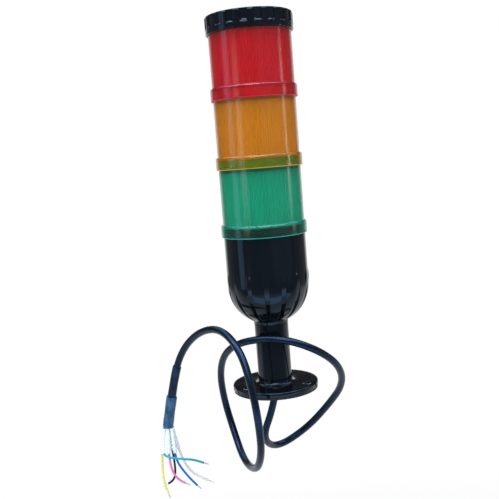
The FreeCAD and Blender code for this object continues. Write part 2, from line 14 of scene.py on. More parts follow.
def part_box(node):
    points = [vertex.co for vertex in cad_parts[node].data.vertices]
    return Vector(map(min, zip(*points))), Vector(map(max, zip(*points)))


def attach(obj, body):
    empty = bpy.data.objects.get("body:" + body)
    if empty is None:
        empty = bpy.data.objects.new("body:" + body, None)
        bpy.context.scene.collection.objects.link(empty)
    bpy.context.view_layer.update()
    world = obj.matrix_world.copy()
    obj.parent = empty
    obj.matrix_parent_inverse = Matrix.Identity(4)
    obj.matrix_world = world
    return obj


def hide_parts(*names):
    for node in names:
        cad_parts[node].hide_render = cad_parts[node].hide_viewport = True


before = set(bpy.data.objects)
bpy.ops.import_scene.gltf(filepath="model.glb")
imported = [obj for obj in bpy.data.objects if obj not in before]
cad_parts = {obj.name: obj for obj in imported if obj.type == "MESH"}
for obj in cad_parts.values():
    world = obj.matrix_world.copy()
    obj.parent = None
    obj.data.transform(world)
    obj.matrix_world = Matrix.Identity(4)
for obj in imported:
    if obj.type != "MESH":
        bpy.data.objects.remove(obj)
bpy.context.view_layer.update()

bl_info = {
    "name": "Stack light",
    "version": (1, 0, 0),
    "blender": (4, 5, 0),
    "location": "3D View > Sidebar > Stack light",
    "description": "Builds the visible pieces of a three-tier stack light round its CAD frame",
    "category": "Object",
}

TIERS = ("green", "amber", "red")
FRONT = -90.0                     # angle in degrees that faces the front
NEAR = 0.01                       # mm within which two radii or heights count as the same
MERGE = 0.004                     # mm within which two vertices become one
CLEAR = 1.0                       # mm by which a cutter stands past what it cuts
PROFILE_STEPS = 6                 # rings in a rounded corner of a turned piece


# ---- units, places and colours ----------------------------------------------------------------------
def mm(length):
    """Metres from millimetres."""
    return length / 1000


def foot(node):
    """Height of a CAD node's lowest point, in mm."""
    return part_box(node)[0][2] * 1000


def head(node):
    """Height of a CAD node's highest point, in mm."""
    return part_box(node)[1][2] * 1000


def across(node):
    """Largest radius of a CAD node that is centred on the axis, in mm."""
    low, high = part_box(node)
    return (high[1] - low[1]) * 500


def linear(text):
    """An sRGB hex colour as linear red, green and blue, with a full alpha."""
    parts = [int(text[start:start + 2], 16) / 255 for start in (1, 3, 5)]
    light = [part / 12.92 if part <= 0.04045 else ((part + 0.055) / 1.055) ** 2.4 for part in parts]
    return (*light, 1.0)


def polar(place):
    """Radius in mm, angle in degrees from +X and height in mm of a point in the frame."""
    return math.hypot(place.x, place.y) * 1000, math.degrees(math.atan2(place.y, place.x)), place.z * 1000


def off_centre(angle, first, pitch):
    """Angle from the nearest of a row of features that starts at first and repeats every pitch."""
    return (angle - first + pitch / 2) % pitch - pitch / 2


# ---- sizes and colours that a user would change -----------------------------------------------------
def colour_property(name, description, text):
    """A colour that a user can change, from its sRGB hex value."""
    return FloatVectorProperty(name=name, description=description, subtype="COLOR", size=4,
                               min=0, max=1, default=linear(text))


def length_property(name, description, size_mm):
    """A length that a user can change, kept in metres."""
    return FloatProperty(name=name, description=description, subtype="DISTANCE", unit="LENGTH",
                         min=0, default=mm(size_mm))


class StackLightSizes(bpy.types.PropertyGroup):
    soft_edge: length_property("Soft edge", "Rounding that moulding leaves on sharp edges", 0.2)
    rib_height: length_property("Rib height", "Height of the fine ribs inside the lenses", 0.3)
    grip_depth: length_property("Grip depth", "Depth of the grip pockets round the cap", 0.85)
    flute_depth: length_property("Flute depth", "Depth of the flutes at the foot of the bowl", 1.3)
    grips: IntProperty(name="Grips", description="Pockets round the cap and the spigots", default=20)
    flutes: IntProperty(name="Flutes", description="Flutes and slots round the bowl", default=15)


class StackLightColours(bpy.types.PropertyGroup):
    black: colour_property("Black", "Moulded housing, cap and pole", "#080C11")
    rubber: colour_property("Rubber", "Gasket, grommet and seals", "#101113")
    red: colour_property("Red", "Dye of the red lens", "#FA184E")
    amber: colour_property("Amber", "Dye of the amber lens", "#FFC606")
    green: colour_property("Green", "Dye of the green lens", "#00DFBF")
    sheath: colour_property("Sheath", "Cable sheath", "#060A0F")
    # The sleeves' blue is partly painted reflection: a blue sheen put into the colour of a darker sleeve.
    shrink: colour_property("Shrink sleeve", "Heat-shrink sleeves", "#254563")
    marker: colour_property("Marker", "Bare marker sleeves", "#ECF6F6")


def sizes():
    """The sizes in use."""
    return bpy.context.scene.stack_light_sizes


def colours():
    """The colours in use."""
    return bpy.context.scene.stack_light_colours


# ---- finishes ---------------------------------------------------------------------------------------
CLOUD = {"green": 0.0, "amber": 0.03, "red": 0.02}        # share of the light that the pigment scatters
NOISE_RANGE = (0.3, 0.7)          # where nearly all of a noise pattern's values lie


def blank(owner):
    """Gives a new material or world its own nodes, with none in it yet."""
    owner.use_nodes = True
    owner.node_tree.nodes.clear()
    return owner


def new_material(name):
    """A material with no nodes in it yet."""
    return blank(bpy.data.materials.new(name))


def add(owner, kind, inputs=None, **settings):
    """Adds a node with its settings; an input is a value, or the node or output that is linked to it."""
    tree = owner.node_tree
    node = tree.nodes.new("ShaderNode" + kind)
    for key, value in settings.items():
        setattr(node, key, value)
    for key, value in (inputs or {}).items():
        if isinstance(value, bpy.types.Node):
            value = next(output for output in value.outputs if output.enabled)
        if isinstance(value, bpy.types.NodeSocket):
            tree.links.new(value, node.inputs[key])
        else:
            node.inputs[key].default_value = value
    return node


def over(value, start, end, low=0.0, high=1.0):
    """Inputs that spread a value's run from start to end over low to high."""
    return {"Value": value, "From Min": start, "From Max": end, "To Min": low, "To Max": high}


def grain(material, size, stretch=(1, 1, 1), detail=2.0):
    """Noise in the object's own coordinates whose spots are about size mm, stretched along an axis."""
    place = add(material, "TexCoord").outputs["Object"]
    stretched = add(material, "Mapping", {"Vector": place, "Scale": stretch})
    return add(material, "TexNoise", {"Vector": stretched, "Scale": 1 / mm(size), "Detail": detail})


def uneven(material, pattern, tones, roughness, spots=None):
    """Inputs for a skin whose colour and roughness each wander between two values with a pattern."""
    factor = pattern if spots is None else spots
    tint = add(material, "Mix", {"Factor": factor, 6: tones[0], 7: tones[1]}, data_type="RGBA")
    return {"Base Color": tint,
            "Roughness": add(material, "MapRange", over(pattern, *NOISE_RANGE, *roughness))}


def relief(pattern, depth, strength):
    """Inputs that turn a pattern into a relief of depth mm."""
    return {"Height": pattern, "Distance": mm(depth), "Strength": strength}


def shade(colour, factor):
    """A colour made lighter or darker."""
    return (*[min(part * factor, 1.0) for part in colour[:3]], 1.0)


def surface(material, inputs):
    """Ends a material with its shader."""
    shader = add(material, "BsdfPrincipled", inputs)
    add(material, "OutputMaterial", {"Surface": shader})
    return material


def black_abs():
    """Black ABS moulded in a polished tool: a deep gloss, with faint flow marks and handling haze."""
    material = new_material("black_abs_moulded")
    haze = grain(material, 9.0, (1, 1, 0.25), 3.0)
    flow = grain(material, 14.0, (1, 1, 0.08), 1.0)
    black = colours().black
    return surface(material, {
        **uneven(material, haze, (shade(black, 0.8), shade(black, 1.5)), (0.08, 0.12)),
        "Normal": add(material, "Bump", relief(flow, 0.05, 0.15)),
        # Painted reflection: the pale blue specular tint colours every reflection on the black mouldings
        # a little blue, in place of cool light.
        "IOR": 1.54, "Specular IOR Level": 0.32, "Specular Tint": linear("#CFE8FF"),
    })


def rubber():
    """Moulded EPDM: matt and nearly black, with a fine dusty bloom."""
    material = new_material("epdm_rubber_moulded")
    bloom = grain(material, 0.8)
    black = colours().rubber
    return surface(material, {
        **uneven(material, bloom, (black, shade(black, 2.2)), (0.6, 0.8)),
        "Normal": add(material, "Bump", relief(bloom, 0.05, 0.3)),
        "IOR": 1.5,
    })


def silicone():
    """Moulded natural silicone: milky, and let through by light."""
    material = new_material("silicone_moulded")
    cloud = grain(material, 1.5)
    return surface(material, {
        **uneven(material, cloud, (linear("#D6D8D4"), linear("#E4E5E1")), (0.45, 0.6)),
        "IOR": 1.41, "Transmission Weight": 0.4,
    })


def clear_lens(tier):
    """Polycarbonate dyed through, off a polished tool: clear, so what is under it shows in its colour."""
    material = new_material("polycarbonate_polished_" + tier)
    dye = getattr(colours(), tier)
    streaks = grain(material, 3.2, (1, 1, 0.02), 2.0)
    return surface(material, {
        **uneven(material, streaks, (shade(dye, 0.98), shade(dye, 1.01)), (0.16, 0.22)),
        "IOR": 1.585, "Specular IOR Level": 0.22, "Transmission Weight": 1.0 - CLOUD[tier],
    })


def ribbed_lens(tier):
    """The same polycarbonate on its ribbed side: it scatters; each rib tip is a touch darker, partly the
    deeper dye of the thicker wall and partly painted rib shading, and near the rim the tips carry painted
    shade as dark ticks.
    """
    material = new_material("polycarbonate_ribbed_" + tier)
    dye = getattr(colours(), tier)
    root = mm(LENS["root"])
    top = foot("lens_" + tier) + LENS["pitch"] - LENS["rim"]
    place = add(material, "TexCoord").outputs["Object"]
    height = add(material, "SeparateXYZ", {"Vector": place}).outputs["Z"]
    flat = add(material, "VectorMath", {0: place, 1: (1, 1, 0)}, operation="MULTIPLY")
    radius = add(material, "VectorMath", {0: flat}, operation="LENGTH")
    # Painted rib shading: the rib tips are a touch darker (0.95) all down the wall, partly for the deeper
    # dye where the wall is thicker.
    thin = add(material, "MapRange", over(radius, root - sizes().rib_height, root))
    # Painted shade: within a few mm under the rim the rib tips are made much darker (0.6), for the dark
    # ticks that light draws on the rib ends there.
    tick_shade_mask = add(material, "MapRange", over(height, mm(top - LENS["painted_tick_shade"]), mm(top)))
    body, painted_tick_shade = (add(material, "Mix", {"Factor": thin, 6: shade(dye, depth), 7: dye}, data_type="RGBA")
                   for depth in (0.95, 0.6))
    colour = add(material, "Mix", {"Factor": tick_shade_mask, 6: body, 7: painted_tick_shade}, data_type="RGBA")
    return surface(material, {
        "Base Color": colour, "Roughness": 0.5, "IOR": 1.585, "Specular IOR Level": 0.3,
        "Transmission Weight": 0.2,
    })


def sheath_pvc(name, colour, roughness):
    """Extruded PVC: an even satin skin with faint waves along its length."""
    material = new_material("pvc_extruded_" + name)
    skin = grain(material, 2.4)
    tones = (shade(colour, 0.88), shade(colour, 1.1))
    return surface(material, {
        **uneven(material, skin, tones, (roughness - 0.05, roughness + 0.08)),
        "Normal": add(material, "Bump", relief(skin, 0.03, 0.15)),
        # Painted reflection: the blue specular tint colours the cable's and leads' reflections blue, in
        # place of cool light.
        "IOR": 1.53, "Specular IOR Level": 0.55, "Specular Tint": linear("#8FC2FF"),
    })


def shrink_tube(name, colour, shine):
    """Polyolefin shrunk on by heat: a waxy skin with soft wrinkles, whose light and shade are also
    painted into its colour from the same pattern as their bump.
    """
    material = new_material("polyolefin_heat_shrunk_" + name)
    wrinkles = grain(material, 2.6, (1, 1, 0.35), 3.0)
    painted_wrinkle_light = add(material, "MapRange", over(wrinkles, *NOISE_RANGE))
    return surface(material, {
        # Painted light and shade: the colour swings from a fifth to over twice the sleeve colour where
        # the wrinkles rise and fall.
        **uneven(material, wrinkles, (shade(colour, 0.2), shade(colour, 2.2)), (0.28, 0.5), painted_wrinkle_light),
        "Normal": add(material, "Bump", relief(wrinkles, 0.2, 0.8)),
        # Painted reflection: the blue specular tint colours the sleeve's reflections blue.
        "IOR": 1.5, "Specular IOR Level": shine, "Specular Tint": linear("#C4E0FF"),
    })


def plain_plastic(name, text, roughness, size=4.0):
    """A moulded plastic with a soft mottle, for the parts inside."""
    material = new_material(name)
    colour = linear(text)
    tones = (shade(colour, 0.93), shade(colour, 1.05))
    return surface(material, {
        **uneven(material, grain(material, size), tones, (roughness, roughness + 0.12)),
        "IOR": 1.5,
    })


def metal(name, text, roughness, size=0.6):
    """Bare metal with fine drawn or turned marks."""
    material = new_material(name)
    marks = grain(material, size, (1, 1, 0.2), 4.0)
    colour = linear(text)
    return surface(material, {
        **uneven(material, marks, (shade(colour, 0.85), colour), (roughness, roughness + 0.15)),
        "Metallic": 1.0,
    })


# ---- modelling by hand ------------------------------------------------------------------------------
HOLD = 0.6                        # mm from an edge to the ring that keeps the wall beside it flat


def deselect():
    """Leaves edit mode, with nothing selected."""
    if bpy.context.mode != "OBJECT":
        bpy.ops.object.mode_set(mode="OBJECT")
    bpy.ops.object.select_all(action="DESELECT")


def choose(piece):
    """Selects one piece and makes it the active one."""
    deselect()
    piece.select_set(True)
    bpy.context.view_layer.objects.active = piece


def edit(piece, kind="VERT"):
    """Puts a piece in edit mode with nothing selected."""
    choose(piece)
    bpy.ops.object.mode_set(mode="EDIT")
    bpy.ops.mesh.select_mode(type=kind)
    bpy.ops.mesh.select_all(action="DESELECT")


def done():
    """Leaves edit mode."""
    bpy.ops.object.mode_set(mode="OBJECT")


def pick(kind, test):
    """Selects the verts or faces of the piece in edit mode whose (radius, angle, height) passes."""
    data = bpy.context.edit_object.data
    mesh = bmesh.from_edit_mesh(data)
    place_of = {"verts": lambda vertex: vertex.co, "faces": lambda face: face.calc_center_median()}[kind]
    chosen = [element for element in getattr(mesh, kind) if test(*polar(place_of(element)))]
    for element in chosen:
        element.select_set(True)
    mesh.select_flush_mode()
    bmesh.update_edit_mesh(data, loop_triangles=False, destructive=False)
    return len(chosen)


def tidy_mesh():
    """Merges doubles and turns every face outwards, in edit mode."""
    bpy.ops.mesh.select_all(action="SELECT")
    bpy.ops.mesh.remove_doubles(threshold=mm(MERGE))
    bpy.ops.mesh.normals_make_consistent(inside=False)
    bpy.ops.mesh.select_all(action="DESELECT")


def close_centre(radius, height):
    """Draws the ring at an end of a solid piece together on the axis."""
    bpy.ops.mesh.select_all(action="DESELECT")
    pick("verts", lambda r, a, z: abs(r - radius) < NEAR and abs(z - height) < NEAR)
    bpy.ops.mesh.merge(type="CENTER")


def turn(name, rings, segments, first_angle=0.0, hollow=True):
    """A turned piece: a circle drawn through its rings (radius, height), with a vertex at first_angle."""
    deselect()
    radius, height = rings[0]
    bpy.ops.mesh.primitive_circle_add(vertices=segments, radius=mm(radius), location=(0, 0, mm(height)),
                                      rotation=(0, 0, math.radians(first_angle - 90)))
    piece = bpy.context.object
    piece.name = piece.data.name = name
    bpy.ops.object.transform_apply(location=True, rotation=True, scale=True)
    edit(piece, "EDGE")
    bpy.ops.mesh.select_all(action="SELECT")
    for (radius, height), (next_radius, next_height) in zip(rings, rings[1:]):
        rise = (0, 0, mm(next_height - height))
        bpy.ops.mesh.extrude_edges_move(TRANSFORM_OT_translate={"value": rise})
        scale = next_radius / radius
        bpy.ops.transform.resize(value=(scale, scale, 1), center_override=(0, 0, mm(next_height)))
    if hollow:
        bpy.ops.mesh.select_all(action="DESELECT")
        bpy.ops.mesh.select_non_manifold(use_wire=False, use_multi_face=False, use_non_contiguous=False,
                                         use_verts=False)
        bpy.ops.mesh.bridge_edge_loops()
    else:
        bpy.ops.mesh.select_mode(type="VERT")
        close_centre(*rings[0])
        close_centre(*rings[-1])
    tidy_mesh()
    done()
    return piece


def arc(centre, radius, start, end, steps=PROFILE_STEPS):
    """Profile points (radius, height) on an arc about a centre, between two angles in degrees."""
    angles = [math.radians(start + (end - start) * step / steps) for step in range(steps + 1)]
    return [(centre[0] + radius * math.cos(angle), centre[1] + radius * math.sin(angle))
            for angle in angles]


def level(start, end, radius, step):
    """Profile points up a straight wall, no further apart than step."""
    count = max(1, math.ceil(abs(end - start) / step))
    return [(radius, start + (end - start) * number / count) for number in range(1, count)]


def press(piece, test, new_radius):
    """Moves the picked faces in or out, ring by ring, to new_radius(height), and leaves walls behind."""
    edit(piece, "FACE")
    if not pick("faces", test):
        raise RuntimeError(f"{piece.name}: no faces to press")
    bpy.ops.mesh.extrude_region_move()
    rings = {}
    for vertex in bmesh.from_edit_mesh(piece.data).verts:
        if vertex.select:
            radius, _, height = polar(vertex.co)
            rings.setdefault((round(radius, 3), round(height, 3)), []).append(vertex.index)
    bpy.ops.mesh.select_mode(type="VERT")
    for (radius, height), members in rings.items():
        bpy.ops.mesh.select_all(action="DESELECT")
        mesh = bmesh.from_edit_mesh(piece.data)
        mesh.verts.ensure_lookup_table()
        for index in members:
            mesh.verts[index].select_set(True)
        scale = new_radius(height) / radius
        bpy.ops.transform.resize(value=(scale, scale, 1), center_override=(0, 0, mm(height)))
    tidy_mesh()
    done()


def copies_round(piece, count, first_angle):
    """Copies of a piece that was modelled at angle 0, joined in one, at even steps from first_angle."""
    deselect()
    for number in range(count):
        copy = piece.copy()
        copy.data = piece.data.copy()
        bpy.context.collection.objects.link(copy)
        copy.data.transform(Matrix.Rotation(math.radians(first_angle + 360 * number / count), 4, "Z"))
        copy.select_set(True)
    bpy.context.view_layer.objects.active = copy
    bpy.data.objects.remove(piece)
    bpy.ops.object.join()
    return bpy.context.object


def cut(piece, cutter):
    """Cuts one piece with another, which is used up."""
    choose(piece)
    modifier = piece.modifiers.new("cut", "BOOLEAN")
    modifier.operation = "DIFFERENCE"
    modifier.solver = "EXACT"
    modifier.object = cutter
    bpy.ops.object.modifier_apply(modifier=modifier.name)
    bpy.data.objects.remove(cutter)


def smooth(piece, angle):
    """Shades a piece smooth, apart from edges that are sharper than angle."""
    choose(piece)
    bpy.ops.object.shade_smooth_by_angle(angle=math.radians(angle))


def soften(piece, share=1.0, angle=40, segments=2):
    """Rounds a moulding's sharp edges by a share of the soft edge, and shades the rest smooth."""
    choose(piece)
    modifier = piece.modifiers.new("soften", "BEVEL")
    modifier.width = sizes().soft_edge * share
    modifier.segments = segments
    modifier.limit_method = "ANGLE"
    modifier.angle_limit = math.radians(angle)
    modifier.use_clamp_overlap = False
    bpy.ops.object.modifier_apply(modifier=modifier.name)
    smooth(piece, 45)


def dress(piece, body, slot, nodes, *materials):
    """Gives a finished piece its materials and its body, and hides the CAD nodes that it stands for."""
    piece.data.materials.clear()
    for material in materials:
        piece.data.materials.append(material)
    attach(piece, body)
    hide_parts(*nodes)


# ---- the bayonet joint ------------------------------------------------------------------------------
SPIGOT = {"radius": 28.2, "bore": 25.2, "height": 6.3, "pocket": 27.2, "track": 27.0,
          "ledge": 2.8, "track_low": 0.2, "track_high": 2.0, "half_pocket": 5.3}
WAY_IN_ANGLE = -108.0             # the open pocket beside the one that faces the front
WAY_IN_PITCH = 90.0
LUG_TRAVEL = 27.0                 # degrees from an open pocket to where its lug locks


def spigot_rings(low):
    """Outside of a spigot from its foot, with a ring at every level of its pockets and tracks."""
    top = low + SPIGOT["height"]
    steps = (0, SPIGOT["track_low"], SPIGOT["track_high"], SPIGOT["ledge"], SPIGOT["height"])
    return [(SPIGOT["radius"], low + step) for step in steps] + [(SPIGOT["pocket"], top)]


def cut_spigot(piece, low):
    """Presses the scalloped pockets, the ways in and the locking tracks into a spigot."""
    pitch = 360 / sizes().grips

    def in_pocket(radius, angle, height):
        way_in = abs(off_centre(angle, WAY_IN_ANGLE, WAY_IN_PITCH)) < SPIGOT["half_pocket"]
        start = SPIGOT["track_high"] if way_in else SPIGOT["ledge"]
        in_column = abs(off_centre(angle, FRONT, pitch)) < SPIGOT["half_pocket"]
        in_band = low + start < height < low + SPIGOT["height"] + NEAR
        return in_column and in_band and radius > SPIGOT["pocket"] + NEAR

    def in_track(radius, angle, height):
        from_middle = abs(off_centre(angle, WAY_IN_ANGLE - LUG_TRAVEL / 2, WAY_IN_PITCH))
        in_run = from_middle < LUG_TRAVEL / 2 + SPIGOT["half_pocket"]
        in_band = low + SPIGOT["track_low"] < height < low + SPIGOT["track_high"]
        return in_run and in_band and radius > SPIGOT["radius"] - NEAR

    press(piece, in_pocket, lambda height: SPIGOT["pocket"])
    press(piece, in_track, lambda height: SPIGOT["track"])


# ---- pole and flange --------------------------------------------------------------------------------
POLE = {"radius": 12.0, "bore": 8.2, "stem": 10.0, "foot": 2.7, "foot_steps": 10, "chamfer": 0.2,
        "segments": 180}
FLANGE = {"thickness": 3.5, "edge": 0.9, "under_edge": 0.25, "screws": 3, "screw_circle": 24.5,
          "screw_hole": 2.15, "hole_sides": 40, "screw_land": 3.4, "first_screw": 94.0}


def screw_hole_cutter(low, high):
    """A bar for each screw hole of the flange, from one height to another."""
    deselect()
    bpy.ops.mesh.primitive_cylinder_add(vertices=FLANGE["hole_sides"], radius=mm(FLANGE["screw_hole"]),
                                        depth=mm(high - low),
                                        location=(mm(FLANGE["screw_circle"]), 0, mm((low + high) / 2)))
    bpy.ops.object.transform_apply(location=True)
    return copies_round(bpy.context.object, FLANGE["screws"], FLANGE["first_screw"])


def build_pole():
    """Turns the pole with its stem, its foot's fillet and the flange, and cuts the screw holes."""
    under, stem_top = foot("mounting_pole"), head("mounting_pole")
    rim = across("mounting_pole")
    top = foot("lower_housing")
    flange_top = under + FLANGE["thickness"]
    rings = [(POLE["bore"], under), (rim - FLANGE["under_edge"], under)]
    rings += [(rim, under + FLANGE["under_edge"])]
    rings += arc((rim - FLANGE["edge"], flange_top - FLANGE["edge"]), FLANGE["edge"], 0, 90)
    rings += [(FLANGE["screw_circle"] + FLANGE["screw_land"], flange_top)]
    rings += [(FLANGE["screw_circle"] - FLANGE["screw_land"], flange_top)]
    rings += arc((POLE["radius"] + POLE["foot"], flange_top + POLE["foot"]), POLE["foot"], 270, 180,
                 POLE["foot_steps"])
    rings += [(POLE["radius"], top - POLE["chamfer"] - HOLD), (POLE["radius"], top - POLE["chamfer"])]
    rings += [(POLE["radius"] - POLE["chamfer"], top), (POLE["stem"], top)]
    rings += [(POLE["stem"], stem_top), (POLE["bore"], stem_top)]
    pole = turn("pole_and_flange", rings, POLE["segments"])
    cut(pole, screw_hole_cutter(under - CLEAR, flange_top + CLEAR))
    soften(pole)
    dress(pole, "base", "black_plastic", ["mounting_pole"], black_abs())


# ---- lower housing ----------------------------------------------------------------------------------
HOUSING = {"radius": 28.6, "inner": 26.4, "neck": 12.3, "neck_height": 1.9, "bore": 10.1, "hub": 10.0,
           "seat": 21.5, "straight": 35.1, "seat_up": 6.0, "seat_thickness": 2.0, "lip": 2.2,
           "segments": 360, "inner_steps": 14}
FLUTE = {"start_up": 10.0, "knee_down": 10.6, "foot_down": 24.6, "half_angle": 3.5, "first": -93.0,
         "knee_share": 0.8, "skin": 0.8, "step": 1.5}
SLOT = {"radius": 1.35, "foot_half": 0.55, "start": 12.7, "reach": 34.0, "sides": 24}
BOWL_STEP = 3.0                   # degrees between the rings of the bowl


def circle_through(first, second, third):
    """Centre and radius of the circle through three profile points."""
    (ax, ay), (bx, by), (cx, cy) = first, second, third
    double = 2 * (ax * (by - cy) + bx * (cy - ay) + cx * (ay - by))
    a2, b2, c2 = ax * ax + ay * ay, bx * bx + by * by, cx * cx + cy * cy
    x = (a2 * (by - cy) + b2 * (cy - ay) + c2 * (ay - by)) / double
    y = (a2 * (cx - bx) + b2 * (ax - cx) + c2 * (bx - ax)) / double
    return (x, y), math.hypot(ax - x, ay - y)


def bowl_radius(equator, height):
    """Outer radius of the housing at a height, without its flutes."""
    down = max(0.0, equator - height)
    return math.sqrt(HOUSING["radius"] ** 2 - down ** 2)


def flute_floor(equator, depth):
    """The flutes' floor radius as a function of height: an arc from nothing to the full depth."""
    top = (HOUSING["radius"], equator + FLUTE["start_up"])
    knee = equator - FLUTE["knee_down"]
    low = equator - FLUTE["foot_down"]
    centre, radius = circle_through(top, (bowl_radius(equator, knee) - depth * FLUTE["knee_share"], knee),
                                    (bowl_radius(equator, low) - depth, low))
    return lambda height: centre[0] + math.sqrt(radius ** 2 - (height - centre[1]) ** 2)


def slot_cutter(equator):
    """A teardrop bar, round above and narrow below, copied once for each slot."""
    eye = equator - FLUTE["knee_down"] - SLOT["radius"]
    low = equator - FLUTE["foot_down"]
    deselect()
    middle = (SLOT["start"] + SLOT["reach"]) / 2
    bpy.ops.mesh.primitive_cylinder_add(vertices=SLOT["sides"], radius=mm(SLOT["radius"]),
                                        depth=mm(SLOT["reach"] - SLOT["start"]),
                                        location=(mm(middle), 0, mm(eye)), rotation=(0, math.pi / 2, 0))
    bpy.ops.object.transform_apply(location=True, rotation=True)
    edit(bpy.context.object)
    narrow = SLOT["foot_half"] / SLOT["radius"]
    mesh = bmesh.from_edit_mesh(bpy.context.edit_object.data)
    for vertex in mesh.verts:
        vertex.select_set(vertex.co.z < mm(eye - NEAR))
    mesh.select_flush_mode()
    bpy.ops.transform.resize(value=(1, narrow, narrow), center_override=(0, 0, mm(eye)))
    bpy.ops.transform.translate(value=(0, 0, mm(low + SLOT["foot_half"] - eye)))
    done()
    return copies_round(bpy.context.object, sizes().flutes, FLUTE["first"])


def housing_rings():
    """The housing's section: neck, bowl, wall and spigot outside; lip, seat, bowl and hub inside."""
    low = foot("lower_housing")
    neck_top = low + HOUSING["neck_height"]
    equator = neck_top + math.sqrt(HOUSING["radius"] ** 2 - HOUSING["neck"] ** 2)
    top = equator + HOUSING["straight"]
    seat = equator + HOUSING["seat_up"]
    start = -math.degrees(math.acos(HOUSING["neck"] / HOUSING["radius"]))
    rings = [(HOUSING["bore"], low), (HOUSING["neck"], low), (HOUSING["neck"], neck_top)]
    rings += arc((0, equator), HOUSING["radius"], start, 0, math.ceil(-start / BOWL_STEP))[1:]
    flutes_top = equator + FLUTE["start_up"]
    rings += level(equator, flutes_top, HOUSING["radius"], FLUTE["step"])
    rings += [(HOUSING["radius"], height) for height in (flutes_top, top - HOLD, top)]
    rings += spigot_rings(top)
    rings += [(SPIGOT["bore"], top + SPIGOT["height"]), (SPIGOT["bore"], top - HOUSING["lip"])]
    rings += [(HOUSING["inner"], top - HOUSING["lip"]), (HOUSING["inner"], seat), (HOUSING["seat"], seat)]
    seat_foot = seat - HOUSING["seat_thickness"]
    rings += [(HOUSING["seat"], seat_foot), (HOUSING["inner"], seat_foot)]
    end = -math.degrees(math.acos(HOUSING["neck"] / HOUSING["inner"]))
    rings += arc((0, equator), HOUSING["inner"], 0, end, HOUSING["inner_steps"])
    rings += [(HOUSING["neck"], low + HOUSING["hub"]), (HOUSING["bore"], low + HOUSING["hub"])]
    return rings, equator, top


def build_housing():
    """Turns the housing, presses in its flutes and spigot pockets, and cuts the sound slots."""
    rings, equator, top = housing_rings()
    half_segment = 180 / HOUSING["segments"]
    housing = turn("lower_housing_shell", rings, HOUSING["segments"], FLUTE["first"] + half_segment)
    low = equator - FLUTE["foot_down"]
    high = equator + FLUTE["start_up"]
    pitch = 360 / sizes().flutes

    def in_flute(radius, angle, height):
        outside = radius > bowl_radius(equator, height) - FLUTE["skin"]
        in_column = abs(off_centre(angle, FLUTE["first"], pitch)) < FLUTE["half_angle"]
        return outside and in_column and low < height < high

    press(housing, in_flute, flute_floor(equator, sizes().flute_depth * 1000))
    cut_spigot(housing, top)
    cut(housing, slot_cutter(equator))
    soften(housing, share=0.75, angle=50)
    dress(housing, "base", "black_plastic", ["lower_housing"], black_abs())


# ---- lenses -----------------------------------------------------------------------------------------
# One entry gives how far under the rim the painted shade on the rib tips reaches, in mm.
LENS = {"collar": 30.0, "collar_height": 8.7, "shoulder": 1.2, "foot_chamfer": 0.5, "neck_chamfer": 0.15,
        "radius": 28.5, "root": 26.4, "pitch": 46.7, "rim": 2.0, "collar_bore": 28.5, "seat": 7.5,
        "painted_tick_shade": 3.0, "segments": 220}
LUG = {"first": -135.0, "inner": 27.5, "low": 0.5, "high": 1.7, "half_angle": 3.66}
# How far, in mm, frosting reaches: from the ribs' middle, short of their ends, at the rim and the foot.
FROST = {"middle": 0.3, "band": 0.5, "ends": 1.0, "rim": 0.2, "foot": 0.6, "foot_bore": 0.1}


def lens_rings(low):
    """A lens's section: collar, shoulder, tube and spigot outside; rim, ribbed wall and collar inside."""
    collar_top = low + LENS["collar_height"]
    shoulder = collar_top - LENS["shoulder"]
    neck = collar_top + LENS["neck_chamfer"]
    top = low + LENS["pitch"]
    rim = top - LENS["rim"]
    rings = [(LENS["collar"] - LENS["foot_chamfer"], low), (LENS["collar"], low + LENS["foot_chamfer"])]
    rings += arc((LENS["collar"] - LENS["shoulder"], shoulder), LENS["shoulder"], 0, 90)
    rings += [(LENS["radius"] + LENS["neck_chamfer"], collar_top), (LENS["radius"], neck)]
    rings += [(LENS["radius"], height) for height in (neck + HOLD, top - HOLD, top)]
    rings += spigot_rings(top)
    rings += [(SPIGOT["bore"], top + SPIGOT["height"]), (SPIGOT["bore"], rim)]
    rings += [(LENS["root"], rim), (LENS["root"], low + LENS["seat"])]
    rings += [(LENS["collar_bore"], low + up) for up in (LENS["seat"], LUG["high"], LUG["low"], 0)]
    return rings


def press_lugs(piece, low):
    """Presses the four lugs inwards from a collar's bore, whose foot is at a height."""
    def in_lug(radius, angle, height):
        near = abs(off_centre(angle, LUG["first"], WAY_IN_PITCH)) < LUG["half_angle"]
        in_band = low + LUG["low"] < height < low + LUG["high"]
        return near and in_band and abs(radius - LENS["collar_bore"]) < NEAR

    press(piece, in_lug, lambda height: LUG["inner"])


def rib_wall(piece, low):
    """Draws every second line of the inner wall inwards, which makes the fine upright ribs."""
    step = 360 / LENS["segments"]
    seat = low + LENS["seat"]
    rim = low + LENS["pitch"] - LENS["rim"]

    def on_rib(radius, angle, height):
        on_wall = abs(radius - LENS["root"]) < NEAR and seat - NEAR < height < rim + NEAR
        return on_wall and abs(off_centre(angle, FRONT + step, 2 * step)) < step / 4

    edit(piece)
    pick("verts", on_rib)
    scale = 1 - sizes().rib_height * 1000 / LENS["root"]
    bpy.ops.transform.resize(value=(scale, scale, 1), center_override=(0, 0, 0))
    done()


